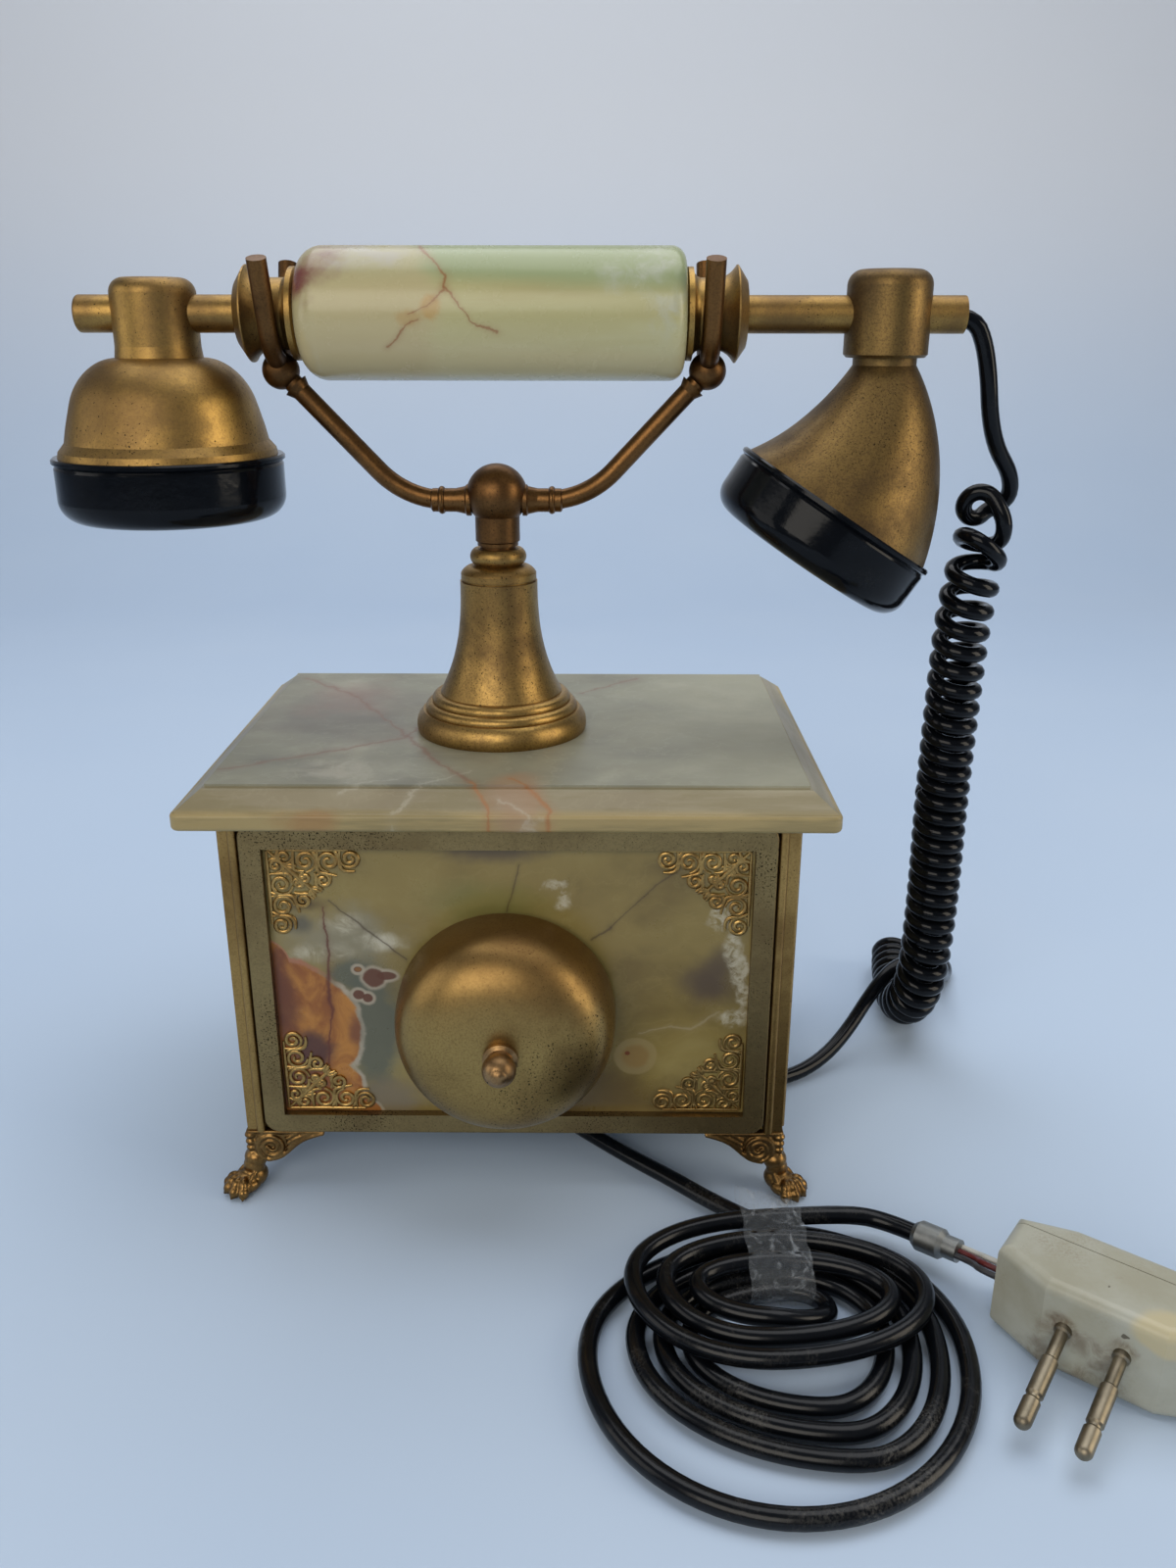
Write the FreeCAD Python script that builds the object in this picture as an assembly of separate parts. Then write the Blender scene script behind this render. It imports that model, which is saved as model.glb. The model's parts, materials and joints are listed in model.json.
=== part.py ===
import FreeCAD, Part
import math
import os

# Onyx and brass telephone. Millimetres, +Z up, table at z = 0 under the middle of the box.
# The bell is on the front (-Y), the dial on the rear (+Y), the earpiece on the left (-X).

V = FreeCAD.Vector
UP = V(0, 0, 1)
ALONG = V(1, 0, 0)
BACK = V(0, 1, 0)

# Fits
FIT = 0.25          # round panels and plates
REST = 0.3          # between pieces that only rest on each other
RUN = 0.05          # radial, between a shaft and its bearing
SEAT = 0.02         # radial, between pieces that are pushed or screwed together

# Box
BOX_WIDTH = 156.4
BOX_DEPTH = 112.0
BOX_HEIGHT = 97.4
FOOT_HEIGHT = 19.6
POST_SIDE = 5.3
POST_BEAD = 2.6
BEZEL_PROUD = 1.4
BEZEL_THICK = 2.6
BEZEL_BAND = 6.1
BEZEL_TOP_BAND = 7.5
BEZEL_CORNER = 4.5
BEZEL_ROUND = 0.7
PANEL_THICK = 5.0
PLATE_THICK = 2.0
FILIGREE_REACH = 26.5
FILIGREE_THICK = 0.8
FILIGREE_TIP = 5.0
FILIGREE_HOLE = 1.5

# Slab
SLAB_WIDTH = 176.0
SLAB_DEPTH = 128.6
SLAB_EDGE = 5.0
SLAB_ROUND = 1.2
SLAB_CORNER = 2.5
SLAB_BEVEL_RISE = 4.6
SLAB_BEVEL_RUN = 6.0
SLAB_LEDGE = 0.8
SLAB_RISER = 1.0

# Feet
FOOT_BRACKET = 22.5
FOOT_BRACKET_THICK = 3.2
FOOT_PAD = 17.0
FOOT_PAD_THICK = 2.6
FOOT_VOLUTE = 9.0
ANKLE_D = 6.4
PAW_LENGTH = 13.4
PAW_WIDTH = 10.4
PAW_OUT = 1.4       # centre of the paw beyond the corner of the posts, each way
PAW_CENTRE_Z = 3.0
TOE_D = 4.4
SCREW_D = 3.0
SCREW_HEAD_D = 5.6
SCREW_HEAD_H = 1.4

# Pedestal, left of and before the middle of the slab
PEDESTAL_X = -4.8
PEDESTAL_Y = -4.6
PEDESTAL_FOOT_D = 50.4
PEDESTAL_FOOT_H = 6.4
PEDESTAL_STEP = 1.9
PEDESTAL_RING_H = 2.5
PEDESTAL_TOP_D = 22.4
PEDESTAL_TOP_H = 44.4
PEDESTAL_CAVITY_D = 16.0
PEDESTAL_FLOOR = 7.0
PEDESTAL_TUBE_D = 12.0
PEDESTAL_NUT_H = 5.0
PEDESTAL_NUT_D = 19.0
CAP_SPIGOT = 4.0
CAP_DISC_H = 4.7
CAP_RING_D = 16.2
CAP_RING_H = 4.6

# Cradle
HOOK_TRAVEL = 4.0
STEM_D = 10.0
STEM_GUIDE = 17.0
ROD_D = 6.0
NECK_D = 12.7
NECK_GAP = 0.9
BALL_D = 17.4
BALL_RISE = 68.7
BUTTON_D = 12.0
BUTTON_H = 4.0
SPRING_WIRE = 0.9
SPRING_D = 10.6
SPRING_TURNS = 7
ARM_D = 5.4
ARM_DROP = 1.5
ARM_BEND = 26.0
ARM_SLOPE = 46.5
ARM_FLARE_D = 8.8
ARM_BEAD_D = 7.8
ARM_BEAD_AT = 15.6
PRONG_D = 5.2
PRONG_RISE = 13.3
PRONG_LEAN = 20.0
KNUCKLE_D = 10.2
KNUCKLE_DROP = 2.4
LEAF_THICK = 0.5
LEAF_LENGTH = 24.0
LEAF_PITCH = 3.0

# Handset
HANDSET_RISE = 116.7
HANDLE_LENGTH = 103.7
HANDLE_D = 34.4
HANDLE_LEFT_ROUND = 7.0
HANDLE_RIGHT_ROUND = 4.0
TUBE_D = 9.8
TUBE_BORE = 6.8
TUBE_LEFT = 112.5    # from the cradle's middle to the tube's ends
TUBE_RIGHT = 127.3
SPOOL_LENGTH = 16.5
SPOOL_RIM_D = 24.0
SPOOL_RIM = 2.0
SPOOL_WAIST_D = 18.5
SPOOL_WAIST_AT = 6.7
SPOOL_WAIST = 5.6
SPOOL_FLANGE_D = 25.0
SPOOL_FLANGE_AT = 13.6
SPOOL_FACE_D = 17.6
BLOCK_D = 22.7
BLOCK_ROUND = 4.0
EAR_AT = 91.6
EAR_TOP = 9.2
EAR_BLOCK_DROP = 8.4
EAR_RIM_DROP = 37.1
EAR_WALL = 1.8
MOUTH_AT = 106.8
MOUTH_TOP = 11.4
MOUTH_BLOCK_DROP = 11.0
HORN_NECK_D = 17.2
HORN_WALL = 1.8
HORN_RIM_D = 59.2
HORN_TILT = 32.7
HORN_RIM_BACK = 10.3   # centre of the rim towards the handle from the block's axis
HORN_RIM_DROP = 51.6
COVER_D = 62.0
COVER_LIP = 1.6
COVER_LIP_OUT = 0.5
COVER_DEPTH = 17.4
COVER_ROUND = 6.0
COVER_WALL = 2.4
SPIGOT = 4.5
SPIGOT_WALL = 1.8
CAPSULE_D = 48.0
CAPSULE_H = 9.0
SOUND_HOLE_D = 3.0
SOUND_RING = 8.5
SET_SCREW_D = 4.4
SET_SCREW_SINK = 0.6

# Bell and ringer, seen from the front
GONG_X = -1.3
GONG_Z = 60.5
GONG_D = 61.0
GONG_DEPTH = 24.0
GONG_WALL = 1.2
GONG_GAP = 3.2
GONG_SQUARE = 3.2     # exponent of the gong's rounded section
STUD_D = 6.0
STUD_TIP_D = 5.0
STUD_SHOULDER_D = 10.0
STUD_TIP = 6.0
STUD_TAIL = 4.0
NUT_D = 9.4
NUT_H = 10.5
HAMMER_AT = 20.5
HAMMER_BALL_D = 6.4
HAMMER_REACH = 13.0
HAMMER_ROD_D = 1.8
HAMMER_HOLE_D = 10.0
RINGER_LEFT = 16.0
RINGER_RIGHT = 27.0
RINGER_HALF = 20.0
PIVOT_BACK = 23.0
PIVOT_D = 2.0
PIVOT_HUB_D = 5.2
LUG_THICK = 2.0
COIL_D = 15.0
COIL_SPACING = 22.0
COIL_LENGTH = 11.0
COIL_CORE_D = 6.0
COIL_X = -2.0
ARMATURE_REACH = 26.0
ARMATURE_HALF = 15.0
ARMATURE_THICK = 2.0

# Dial, seen from the rear
DIAL_Z = 67.4
DIAL_FLANGE_D = 78.0
DIAL_CUP_D = 70.0
DIAL_CUP_WALL = 1.4
DIAL_FLANGE_THICK = 1.8
DIAL_CUP_DEPTH = 13.0
DIAL_HUB_D = 16.0
PLATE_RECESS = 0.2
NUMBER_PLATE_THICK = 1.0
WHEEL_D = 64.0
WHEEL_THICK = 1.4
WHEEL_GAP = 1.4
FINGER_HOLE_D = 11.0
FINGER_RING = 24.3
FINGER_STEP = 30.0
FINGER_FIRST = 55.0
FINGER_COUNT = 10
STOP_ANGLE = -12.0
STOP_WIDTH = 5.0
STOP_REACH = 13.0
DIAL_CAP_D = 22.0
DIAL_CAP_H = 2.6
SHAFT_D = 6.0
SHAFT_TIP_D = 4.0
GEAR_MODULE = 0.7
GEAR_TEETH = 60
GEAR_THICK = 3.0
GEAR_GAP = 3.0
PINION_TEETH = 12
TRAIN_MODULE = 0.6
TRAIN_TEETH = 36
TRAIN_THICK = 2.0
GOVERNOR_TEETH = 9
GOVERNOR_D = 14.0
GOVERNOR_H = 4.0
CAM_D = 8.0
CAM_H = 2.0
AXLE_D = 2.4
TRAIN_ANGLE = 200.0
GOVERNOR_TURN = 65.0
TOOTH_SHARE = 0.3     # of the pitch, so that the teeth run with plenty of play
ADDENDUM = 0.8
DEDENDUM = 1.15

# Cords
HANDSET_CORD_D = 4.2
CURL_D = 16.4
LINE_CORD_D = 5.0
LAYER = 5.7           # from the middle of one turn of the line cord to the next
GROMMET_D = 11.0
GROMMET_LIP = 1.5
GROMMET_CLEARANCE = 0.5    # from the lip of the handset cord's grommet to the side panel
HANDSET_GROMMET_Y = -10.0
LINE_GROMMET = V(6, -14, 0)
TAPE_THICK = 0.25
TAPE_WIDTH = 17.0
FERRULE_D = 8.2
FERRULE_LENGTH = 13.0
WIRE_D = 1.7
PLUG_LENGTH = 56.0
PLUG_BACK = 13.0
PLUG_FRONT = 12.0
PLUG_HEIGHT = 25.0
PLUG_ENTRY = 9.0
PLUG_SEAM = 0.3
PIN_D = 4.2
PIN_LENGTH = 29.0
PIN_ROOT = 6.0
PIN_AT = (19.4, 33.1)

# Electrical pieces on the base plate
TERMINAL_SIZE = V(46, 13, 11)
INDUCTION_SIZE = V(30, 24, 24)
CAPACITOR_SIZE = V(14, 24, 26)
TERMINAL_MARGIN = 4.0
TERMINAL_SCREW_D = 5.0
TERMINAL_SCREW_DEEP = 2.0
TERMINAL_SCREW_HEIGHT = 3.0
INNER_MARGIN = 8.0       # from the left panel to the induction coil and the capacitor
INDUCTION_FORWARD = 12.0
INDUCTION_YOKE = 5.0
INDUCTION_PROUD = 3.0
CAPACITOR_BACK = 12.0
CAPACITOR_ROUND = 2.0

# Heights and faces that the pieces share
slab_z = FOOT_HEIGHT + BOX_HEIGHT
slab_top = slab_z + SLAB_EDGE + SLAB_BEVEL_RISE + SLAB_RISER
post_x = BOX_WIDTH / 2
post_y = BOX_DEPTH / 2
bezel_x = post_x + BEZEL_PROUD
bezel_y = post_y + BEZEL_PROUD
panel_x = bezel_x - BEZEL_THICK
panel_y = bezel_y - BEZEL_THICK
inner_x = panel_x - PANEL_THICK
handset_grommet = V(inner_x - GROMMET_CLEARANCE - GROMMET_D / 2, HANDSET_GROMMET_Y, 0)
inner_y = panel_y - PANEL_THICK
plate_z = FOOT_HEIGHT + PLATE_THICK
pedestal = V(PEDESTAL_X, PEDESTAL_Y, slab_top)
axis_z = slab_top + HANDSET_RISE
axis = V(PEDESTAL_X, PEDESTAL_Y, axis_z)
fork_radius = (SPOOL_WAIST_D + PRONG_D) / 2 + REST
fork_reach = HANDLE_LENGTH / 2 + SPOOL_WAIST_AT
knuckle_z = axis_z - fork_radius - KNUCKLE_DROP


def save(node, *solids):
    """One file for each named piece."""
    for solid in solids:
        if not solid.isValid():
            print("not valid:", node)
    shape = solids[0] if len(solids) == 1 else Part.makeCompound(list(solids))
    shape.exportStep("parts/" + node + ".step")


def block(x0, x1, y0, y1, z0, z1):
    return Part.makeBox(x1 - x0, y1 - y0, z1 - z0, V(x0, y0, z0))


def rod(diameter, start, end):
    return Part.makeCylinder(diameter / 2, (end - start).Length, start, end - start)


def ball(diameter, centre):
    return Part.makeSphere(diameter / 2, centre)


def edges_of(steps):
    """Edges through (a, b) corners, (a, b, a, b) arcs by way of a point, and lists for smooth curves."""
    at = V(steps[0][0], 0, steps[0][1])
    edges = []
    for step in steps[1:]:
        if isinstance(step, list):
            through = [at] + [V(a, 0, b) for a, b in step]
            curve = Part.BSplineCurve()
            curve.interpolate(through)
            edges.append(curve.toShape())
            at = through[-1]
            continue
        end = V(step[-2], 0, step[-1])
        if len(step) == 4:
            edges.append(Part.Arc(at, V(step[0], 0, step[1]), end).toShape())
        else:
            edges.append(Part.LineSegment(at, end).toShape())
        at = end
    return edges


def outline(steps):
    """Closed face in the XZ plane."""
    return Part.Face(Part.Wire(edges_of(steps + [steps[0]])))


def aimed(shape, origin, direction):
    """The shape with its own +Z turned to a direction and its zero moved to a point."""
    return moved(shape, FreeCAD.Placement(origin, FreeCAD.Rotation(UP, direction)))


def moved(shape, place):
    copy = shape.copy()
    copy.Placement = place.multiply(copy.Placement)
    return copy


def crown(radius, low, high):
    """Arc of a sphere from a radius up to the axis, for the end of a turned outline."""
    rise = high - low
    round_r = (radius ** 2 + rise ** 2) / (2 * rise)
    half = math.asin(radius / round_r) / 2
    return (round_r * math.sin(half), high - round_r + round_r * math.cos(half), 0, high)


def lathe(steps, origin=V(0, 0, 0), direction=UP):
    """A turned piece from (radius, height) steps."""
    return aimed(outline(steps).revolve(V(0, 0, 0), UP, 360), origin, direction)


def pipe(diameter, wire):
    """Round bar along a wire, with a circle square to its start."""
    first = wire.OrderedEdges[0]
    start = first.valueAt(first.FirstParameter)
    heading = first.tangentAt(first.FirstParameter)
    if first.Orientation == "Reversed":
        start = first.valueAt(first.LastParameter)
        heading = first.tangentAt(first.LastParameter) * -1
    ring = Part.Wire([Part.Circle(start, heading, diameter / 2).toShape()])
    return wire.makePipeShell([ring], True, False)


def fused(first, *others):
    return first.multiFuse(list(others)).removeSplitter()


def on_side(shape, turn, out, across=0.0, height=0.0):
    """From a side's own frame (right, up, outwards) to the box: 0 is the front, 180 the rear."""
    facing = FreeCAD.Rotation(V(1, 0, 0), V(0, 0, 1), V(0, -1, 0), "ZXY")
    flat = FreeCAD.Placement(V(across, -out, height), facing)
    swing = FreeCAD.Placement(V(0, 0, 0), FreeCAD.Rotation(UP, turn))
    return moved(shape, swing.multiply(flat))


def mirrored(shape, normal):
    return shape.mirror(V(0, 0, 0), normal)


# Box

def rounded_plate(half, low, high, radius, thick):
    """Upright plate in a side's own frame, corners rounded, from zero outwards to its thickness."""
    plate = block(-half, half, low, high, 0, thick)
    corners = [e for e in plate.Edges if abs(e.tangentAt(e.FirstParameter).z) > 0.9]
    return plate.makeFillet(radius, corners)


def bezel(half):
    """Frame round a panel with a softened front edge."""
    top = slab_z - FIT
    plate = rounded_plate(half, FOOT_HEIGHT, top, BEZEL_CORNER, BEZEL_THICK)
    front = [e for e in plate.Edges if e.BoundBox.ZMin > BEZEL_THICK - 0.01]
    plate = plate.makeFillet(BEZEL_ROUND, front)
    opening = block(-half + BEZEL_BAND, half - BEZEL_BAND, FOOT_HEIGHT + BEZEL_BAND, top - BEZEL_TOP_BAND,
                    -1, BEZEL_THICK + 1)
    return plate.cut(opening)


def panel(half):
    return block(-half, half, FOOT_HEIGHT + FIT, slab_z - FIT, -PANEL_THICK, 0)


def corner_post():
    """Square post with a bead down its two outer faces, at the right front corner."""
    bar = block(post_x - POST_SIDE, post_x, -post_y, -post_y + POST_SIDE, FOOT_HEIGHT, slab_z)
    inset = POST_SIDE - POST_BEAD / 2
    front = V(post_x - inset, -post_y, FOOT_HEIGHT)
    side = V(post_x, -post_y + inset, FOOT_HEIGHT)
    rise = V(0, 0, BOX_HEIGHT)
    return fused(bar, rod(POST_BEAD, front, front + rise), rod(POST_BEAD, side, side + rise))


def four_corners(shape):
    right = [shape, mirrored(shape, BACK)]
    return right + [mirrored(s, ALONG) for s in right]


def filigree_corner():
    """Pierced corner plate with hollowed inner edge, its outer corner at zero."""
    far = FILIGREE_REACH
    tip = FILIGREE_TIP
    knee = far * 0.42
    dip = far * 0.31
    bow = far * 0.62
    steps = [(0, 0), (far, 0), (far, tip), (bow, dip, knee, knee), (dip, bow, tip, far), (0, far)]
    plate = outline(steps).extrude(V(0, FILIGREE_THICK, 0))
    for k in range(1, 5):
        along = far * 0.2 * k
        size = FILIGREE_HOLE * (1.15 - 0.12 * k)
        for a, b in ((along, tip * 0.6), (tip * 0.6, along)):
            hole = Part.makeCylinder(size, 3 * FILIGREE_THICK, V(a, -FILIGREE_THICK, b), BACK)
            plate = plate.cut(hole)
    return moved(plate, FreeCAD.Placement(V(0, 0, FILIGREE_THICK), FreeCAD.Rotation(ALONG, -90)))


def filigree(half):
    """The four corner plates of one side, in the side's own frame on the panel's face."""
    edge = half - BEZEL_BAND - FIT
    low = FOOT_HEIGHT + BEZEL_BAND + FIT
    high = slab_z - FIT - BEZEL_TOP_BAND - FIT
    corner = filigree_corner()
    plates = []
    for side in (1, -1):
        for level, upright in ((low, 1), (high, -1)):
            piece = corner if side < 0 else mirrored(corner, ALONG)
            piece = piece if upright > 0 else mirrored(piece, BACK)
            plates.append(moved(piece, FreeCAD.Placement(V(side * edge, level, 0), FreeCAD.Rotation())))
    return plates


def make_box():
    front_half = post_x - POST_SIDE - FIT
    side_half = post_y - POST_SIDE - FIT

    def drill(diameter, x, z):
        return rod(diameter, V(x, z, -PANEL_THICK - 1), V(x, z, 1))

    hammer = drill(HAMMER_HOLE_D, GONG_X + HAMMER_AT, GONG_Z)
    stud = drill(STUD_D + 2 * FIT, GONG_X, GONG_Z)
    cup = drill(DIAL_CUP_D + 2 * FIT, 0, DIAL_Z)
    front_panel = panel(front_half).cut(hammer).cut(stud)
    rear_panel = panel(front_half).cut(cup)
    side_panel = panel(inner_y - FIT)
    save("front_panel", on_side(front_panel, 0, panel_y))
    save("rear_panel", on_side(rear_panel, 180, panel_y))
    save("side_panels", *[on_side(side_panel, turn, panel_x) for turn in (90, -90)])
    save("front_bezel", on_side(bezel(front_half), 0, panel_y))
    save("rear_bezel", on_side(bezel(front_half), 180, panel_y))
    save("side_bezels", *[on_side(bezel(side_half), turn, panel_x) for turn in (90, -90)])
    save("front_filigree", *[on_side(plate, 0, panel_y) for plate in filigree(front_half)])
    save("rear_filigree", *[on_side(plate, 180, panel_y) for plate in filigree(front_half)])
    save("corner_posts", *four_corners(corner_post()))


def make_slab():
    """Moulded slab: rounded edge, bevel, ledge and a low plateau."""
    half_x = SLAB_WIDTH / 2
    half_y = SLAB_DEPTH / 2
    edge = block(-half_x, half_x, -half_y, half_y, slab_z, slab_z + SLAB_EDGE)
    edge = edge.makeFillet(SLAB_CORNER, [e for e in edge.Edges if abs(e.tangentAt(0).z) > 0.9])
    edge = edge.makeFillet(SLAB_ROUND, [e for e in edge.Edges if abs(e.BoundBox.ZLength) < 0.01])

    def rim(inset, z):
        a = half_x - inset
        b = half_y - inset
        return Part.makePolygon([V(-a, -b, z), V(a, -b, z), V(a, b, z), V(-a, b, z), V(-a, -b, z)])

    shoulder = slab_z + SLAB_EDGE + SLAB_BEVEL_RISE
    top_inset = SLAB_ROUND + SLAB_BEVEL_RUN
    bevel = Part.makeLoft([rim(SLAB_ROUND, slab_z + SLAB_EDGE), rim(top_inset, shoulder)], True, True)
    inset = top_inset + SLAB_LEDGE
    plateau = block(-half_x + inset, half_x - inset, -half_y + inset, half_y - inset, shoulder, slab_top)
    hole = rod(PEDESTAL_TUBE_D + 2 * FIT, pedestal - V(0, 0, slab_top - slab_z + 1), pedestal + V(0, 0, 1))
    save("top_slab", fused(edge, bevel, plateau).cut(hole))


def make_plates():
    """Base plate with its screws and cord grommets, top plate with the nut that holds the pedestal."""
    wide = inner_x - FIT
    deep = inner_y - FIT
    base = block(-wide, wide, -deep, deep, FOOT_HEIGHT, plate_z)
    for at in (handset_grommet, LINE_GROMMET):
        low = V(at.x, at.y, FOOT_HEIGHT - 1)
        base = base.cut(rod(GROMMET_D - 2 * GROMMET_LIP, low, low + V(0, 0, PLATE_THICK + 2)))
    for x, y in screw_places():
        base = base.cut(rod(SCREW_D + 2 * SEAT, V(x, y, FOOT_HEIGHT - 1), V(x, y, plate_z + 1)))
    save("base_plate", base)
    save("cord_grommets", grommet(handset_grommet, HANDSET_CORD_D), grommet(LINE_GROMMET, LINE_CORD_D))
    save("foot_screws", *[foot_screw(x, y) for x, y in screw_places()])
    low = slab_z - PLATE_THICK
    top = block(-wide, wide, -deep, deep, low, slab_z)
    bottom = V(PEDESTAL_X, PEDESTAL_Y, low)
    hexagon = [polar(PEDESTAL_NUT_D / 2, 60 * k) for k in range(7)]
    nut = Part.Face(Part.makePolygon(hexagon)).extrude(V(0, 0, -PEDESTAL_NUT_H))
    nut.translate(bottom)
    top = fused(top, nut)
    under = bottom - V(0, 0, PEDESTAL_NUT_H + 1)
    bore = rod(PEDESTAL_TUBE_D + 2 * SEAT, under, bottom + V(0, 0, PLATE_THICK + 1))
    save("top_plate", top.cut(bore))


def screw_places():
    inset = FOOT_PAD - SCREW_HEAD_D
    return [(sx * (post_x - inset), sy * (post_y - inset)) for sx in (1, -1) for sy in (1, -1)]


def foot_screw(x, y):
    """Pan head under the foot's pad, thread up through the base plate."""
    under = FOOT_HEIGHT - FOOT_PAD_THICK
    head = rod(SCREW_HEAD_D, V(x, y, under - SCREW_HEAD_H), V(x, y, under))
    slot = block(x - SCREW_HEAD_D, x + SCREW_HEAD_D, y - 0.4, y + 0.4, under - SCREW_HEAD_H - 1,
                 under - SCREW_HEAD_H / 2)
    return fused(head.cut(slot), rod(SCREW_D, V(x, y, under), V(x, y, plate_z + SCREW_HEAD_H)))


def grommet(at, cord_d):
    """Rubber ring with a lip on each side of the plate."""
    bore = cord_d / 2 + SEAT
    lip = GROMMET_D / 2
    waist = lip - GROMMET_LIP - SEAT
    return lathe([(bore, -GROMMET_LIP), (lip, -GROMMET_LIP), (lip, 0), (waist, 0), (waist, PLATE_THICK),
                  (lip, PLATE_THICK), (lip, PLATE_THICK + GROMMET_LIP), (bore, PLATE_THICK + GROMMET_LIP)],
                 V(at.x, at.y, FOOT_HEIGHT))


# Feet

def paw_foot():
    """Cast foot at the right front corner: two scroll brackets, ankle and a paw turned outwards."""
    corner = V(post_x, -post_y, 0)
    top = FOOT_HEIGHT
    ankle_z = PAW_CENTRE_Z + PAW_WIDTH / 4
    low = ankle_z + ANKLE_D / 2
    steps = [(0, top), (-FOOT_BRACKET, top), (-FOOT_BRACKET, top - 1.5),
             (-FOOT_BRACKET * 0.45, (top + low) / 2, -ANKLE_D, low), (0, low)]
    front = outline(steps).extrude(V(0, FOOT_BRACKET_THICK, 0))
    front.translate(corner)
    diagonal = V(1, 1, 0)
    side = front.copy()
    side.translate(corner * -1)
    side = side.mirror(V(0, 0, 0), diagonal)
    side.translate(corner)
    pad = block(post_x - FOOT_PAD, post_x, -post_y, -post_y + FOOT_PAD, top - FOOT_PAD_THICK, top)
    out = V(1, -1, 0).normalize()
    knee = corner + V(-ANKLE_D / 2, ANKLE_D / 2, low + 1)
    centre = corner + V(PAW_OUT, -PAW_OUT, PAW_CENTRE_Z)
    ankle = rod(ANKLE_D, knee, centre)
    volute = rod(FOOT_VOLUTE, V(0, 0, 0), V(0, FOOT_BRACKET_THICK + 0.6, 0))
    volute.translate(corner + V(-FOOT_VOLUTE * 0.72, -0.6, top - FOOT_VOLUTE * 0.62))
    volute_side = rod(FOOT_VOLUTE, V(0, 0, 0), V(-FOOT_BRACKET_THICK - 0.6, 0, 0))
    volute_side.translate(corner + V(0.6, FOOT_VOLUTE * 0.72, top - FOOT_VOLUTE * 0.62))
    foot = fused(pad, front, side, ankle, volute, volute_side, paw(centre, out))
    for x, y in screw_places():
        foot = foot.cut(rod(SCREW_D + 2 * SEAT, V(x, y, top - FOOT_PAD_THICK - 1), V(x, y, top + 1)))
    return foot.cut(block(post_x - 60, post_x + 60, -post_y - 60, -post_y + 60, -40, 0))


def paw(centre, out):
    """Egg-shaped paw with three toes, flat where it stands on the table."""
    long = PAW_LENGTH / 2
    arc = Part.Arc(Part.Ellipse(V(0, 0, 0), long, PAW_WIDTH / 2), 0, math.pi).toShape()
    closing = Part.LineSegment(V(-long, 0, 0), V(long, 0, 0)).toShape()
    egg = Part.Face(Part.Wire([arc, closing])).revolve(V(0, 0, 0), ALONG, 360)
    egg = moved(egg, FreeCAD.Placement(centre, FreeCAD.Rotation(ALONG, out)))
    across = V(-out.y, out.x, 0)
    low = V(0, 0, TOE_D * 0.42 - PAW_CENTRE_Z)
    toes = []
    for k in (-1, 0, 1):
        reach = long - TOE_D * (0.45 if k else 0.25)
        toes.append(ball(TOE_D, centre + out * reach + across * (k * PAW_WIDTH * 0.33) + low))
    return fused(egg, *toes)


# Pedestal and cradle

def make_pedestal():
    foot = PEDESTAL_FOOT_D / 2
    step = PEDESTAL_STEP
    top = PEDESTAL_TOP_D / 2
    bore = ROD_D / 2 + RUN
    tube = PEDESTAL_TUBE_D / 2
    cavity = PEDESTAL_CAVITY_D / 2
    down = slab_top - slab_z + PLATE_THICK + PEDESTAL_NUT_H + 1.5
    ring_1 = PEDESTAL_FOOT_H + PEDESTAL_RING_H
    ring_2 = ring_1 + PEDESTAL_RING_H
    swell = ring_2 + 0.3
    tall = PEDESTAL_TOP_H - swell
    flare = foot - 3.8 * step - top
    body = [(top + flare * (1 - t) ** 2.6, swell + tall * t) for t in (0.14, 0.32, 0.54, 0.78, 1.0)]
    steps = [(bore, -down), (tube, -down), (tube, 0), (foot - 0.2, 0),
             (foot, PEDESTAL_FOOT_H * 0.5, foot - step, PEDESTAL_FOOT_H),
             (foot - 1.4 * step, PEDESTAL_FOOT_H),
             (foot - 1.5 * step, PEDESTAL_FOOT_H + PEDESTAL_RING_H * 0.6, foot - 2.2 * step, ring_1),
             (foot - 2.5 * step, ring_1),
             (foot - 2.6 * step, ring_1 + PEDESTAL_RING_H * 0.6, foot - 3.3 * step, ring_2),
             (foot - 3.8 * step, ring_2), (foot - 3.8 * step, swell), body,
             (cavity, PEDESTAL_TOP_H), (cavity, PEDESTAL_FLOOR), (bore, PEDESTAL_FLOOR)]
    save("pedestal", lathe(steps, pedestal))
    make_pedestal_cap(top, cavity)
    make_cradle(down)


def make_pedestal_cap(top, cavity):
    """Domed cap with a ring, pushed into the top of the pedestal; it guides the stem."""
    bore = STEM_D / 2 + RUN
    base = PEDESTAL_TOP_H
    spigot = cavity - SEAT
    disc = top - 0.3
    ring = CAP_RING_D / 2
    shelf = base + CAP_DISC_H
    peak = shelf + CAP_RING_H
    steps = [(bore, base - CAP_SPIGOT), (spigot, base - CAP_SPIGOT), (spigot, base), (disc - 0.5, base),
             (disc - 0.5, base + 0.5), (disc, base + 0.7), (disc, base + 2.3),
             (disc - 0.9, shelf - 1.2, ring - 0.9, shelf - 0.2), (ring - 1.3, shelf),
             (ring, shelf + CAP_RING_H / 2, ring - 1.3, peak), (bore, peak)]
    save("pedestal_cap", lathe(steps, pedestal))


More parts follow.
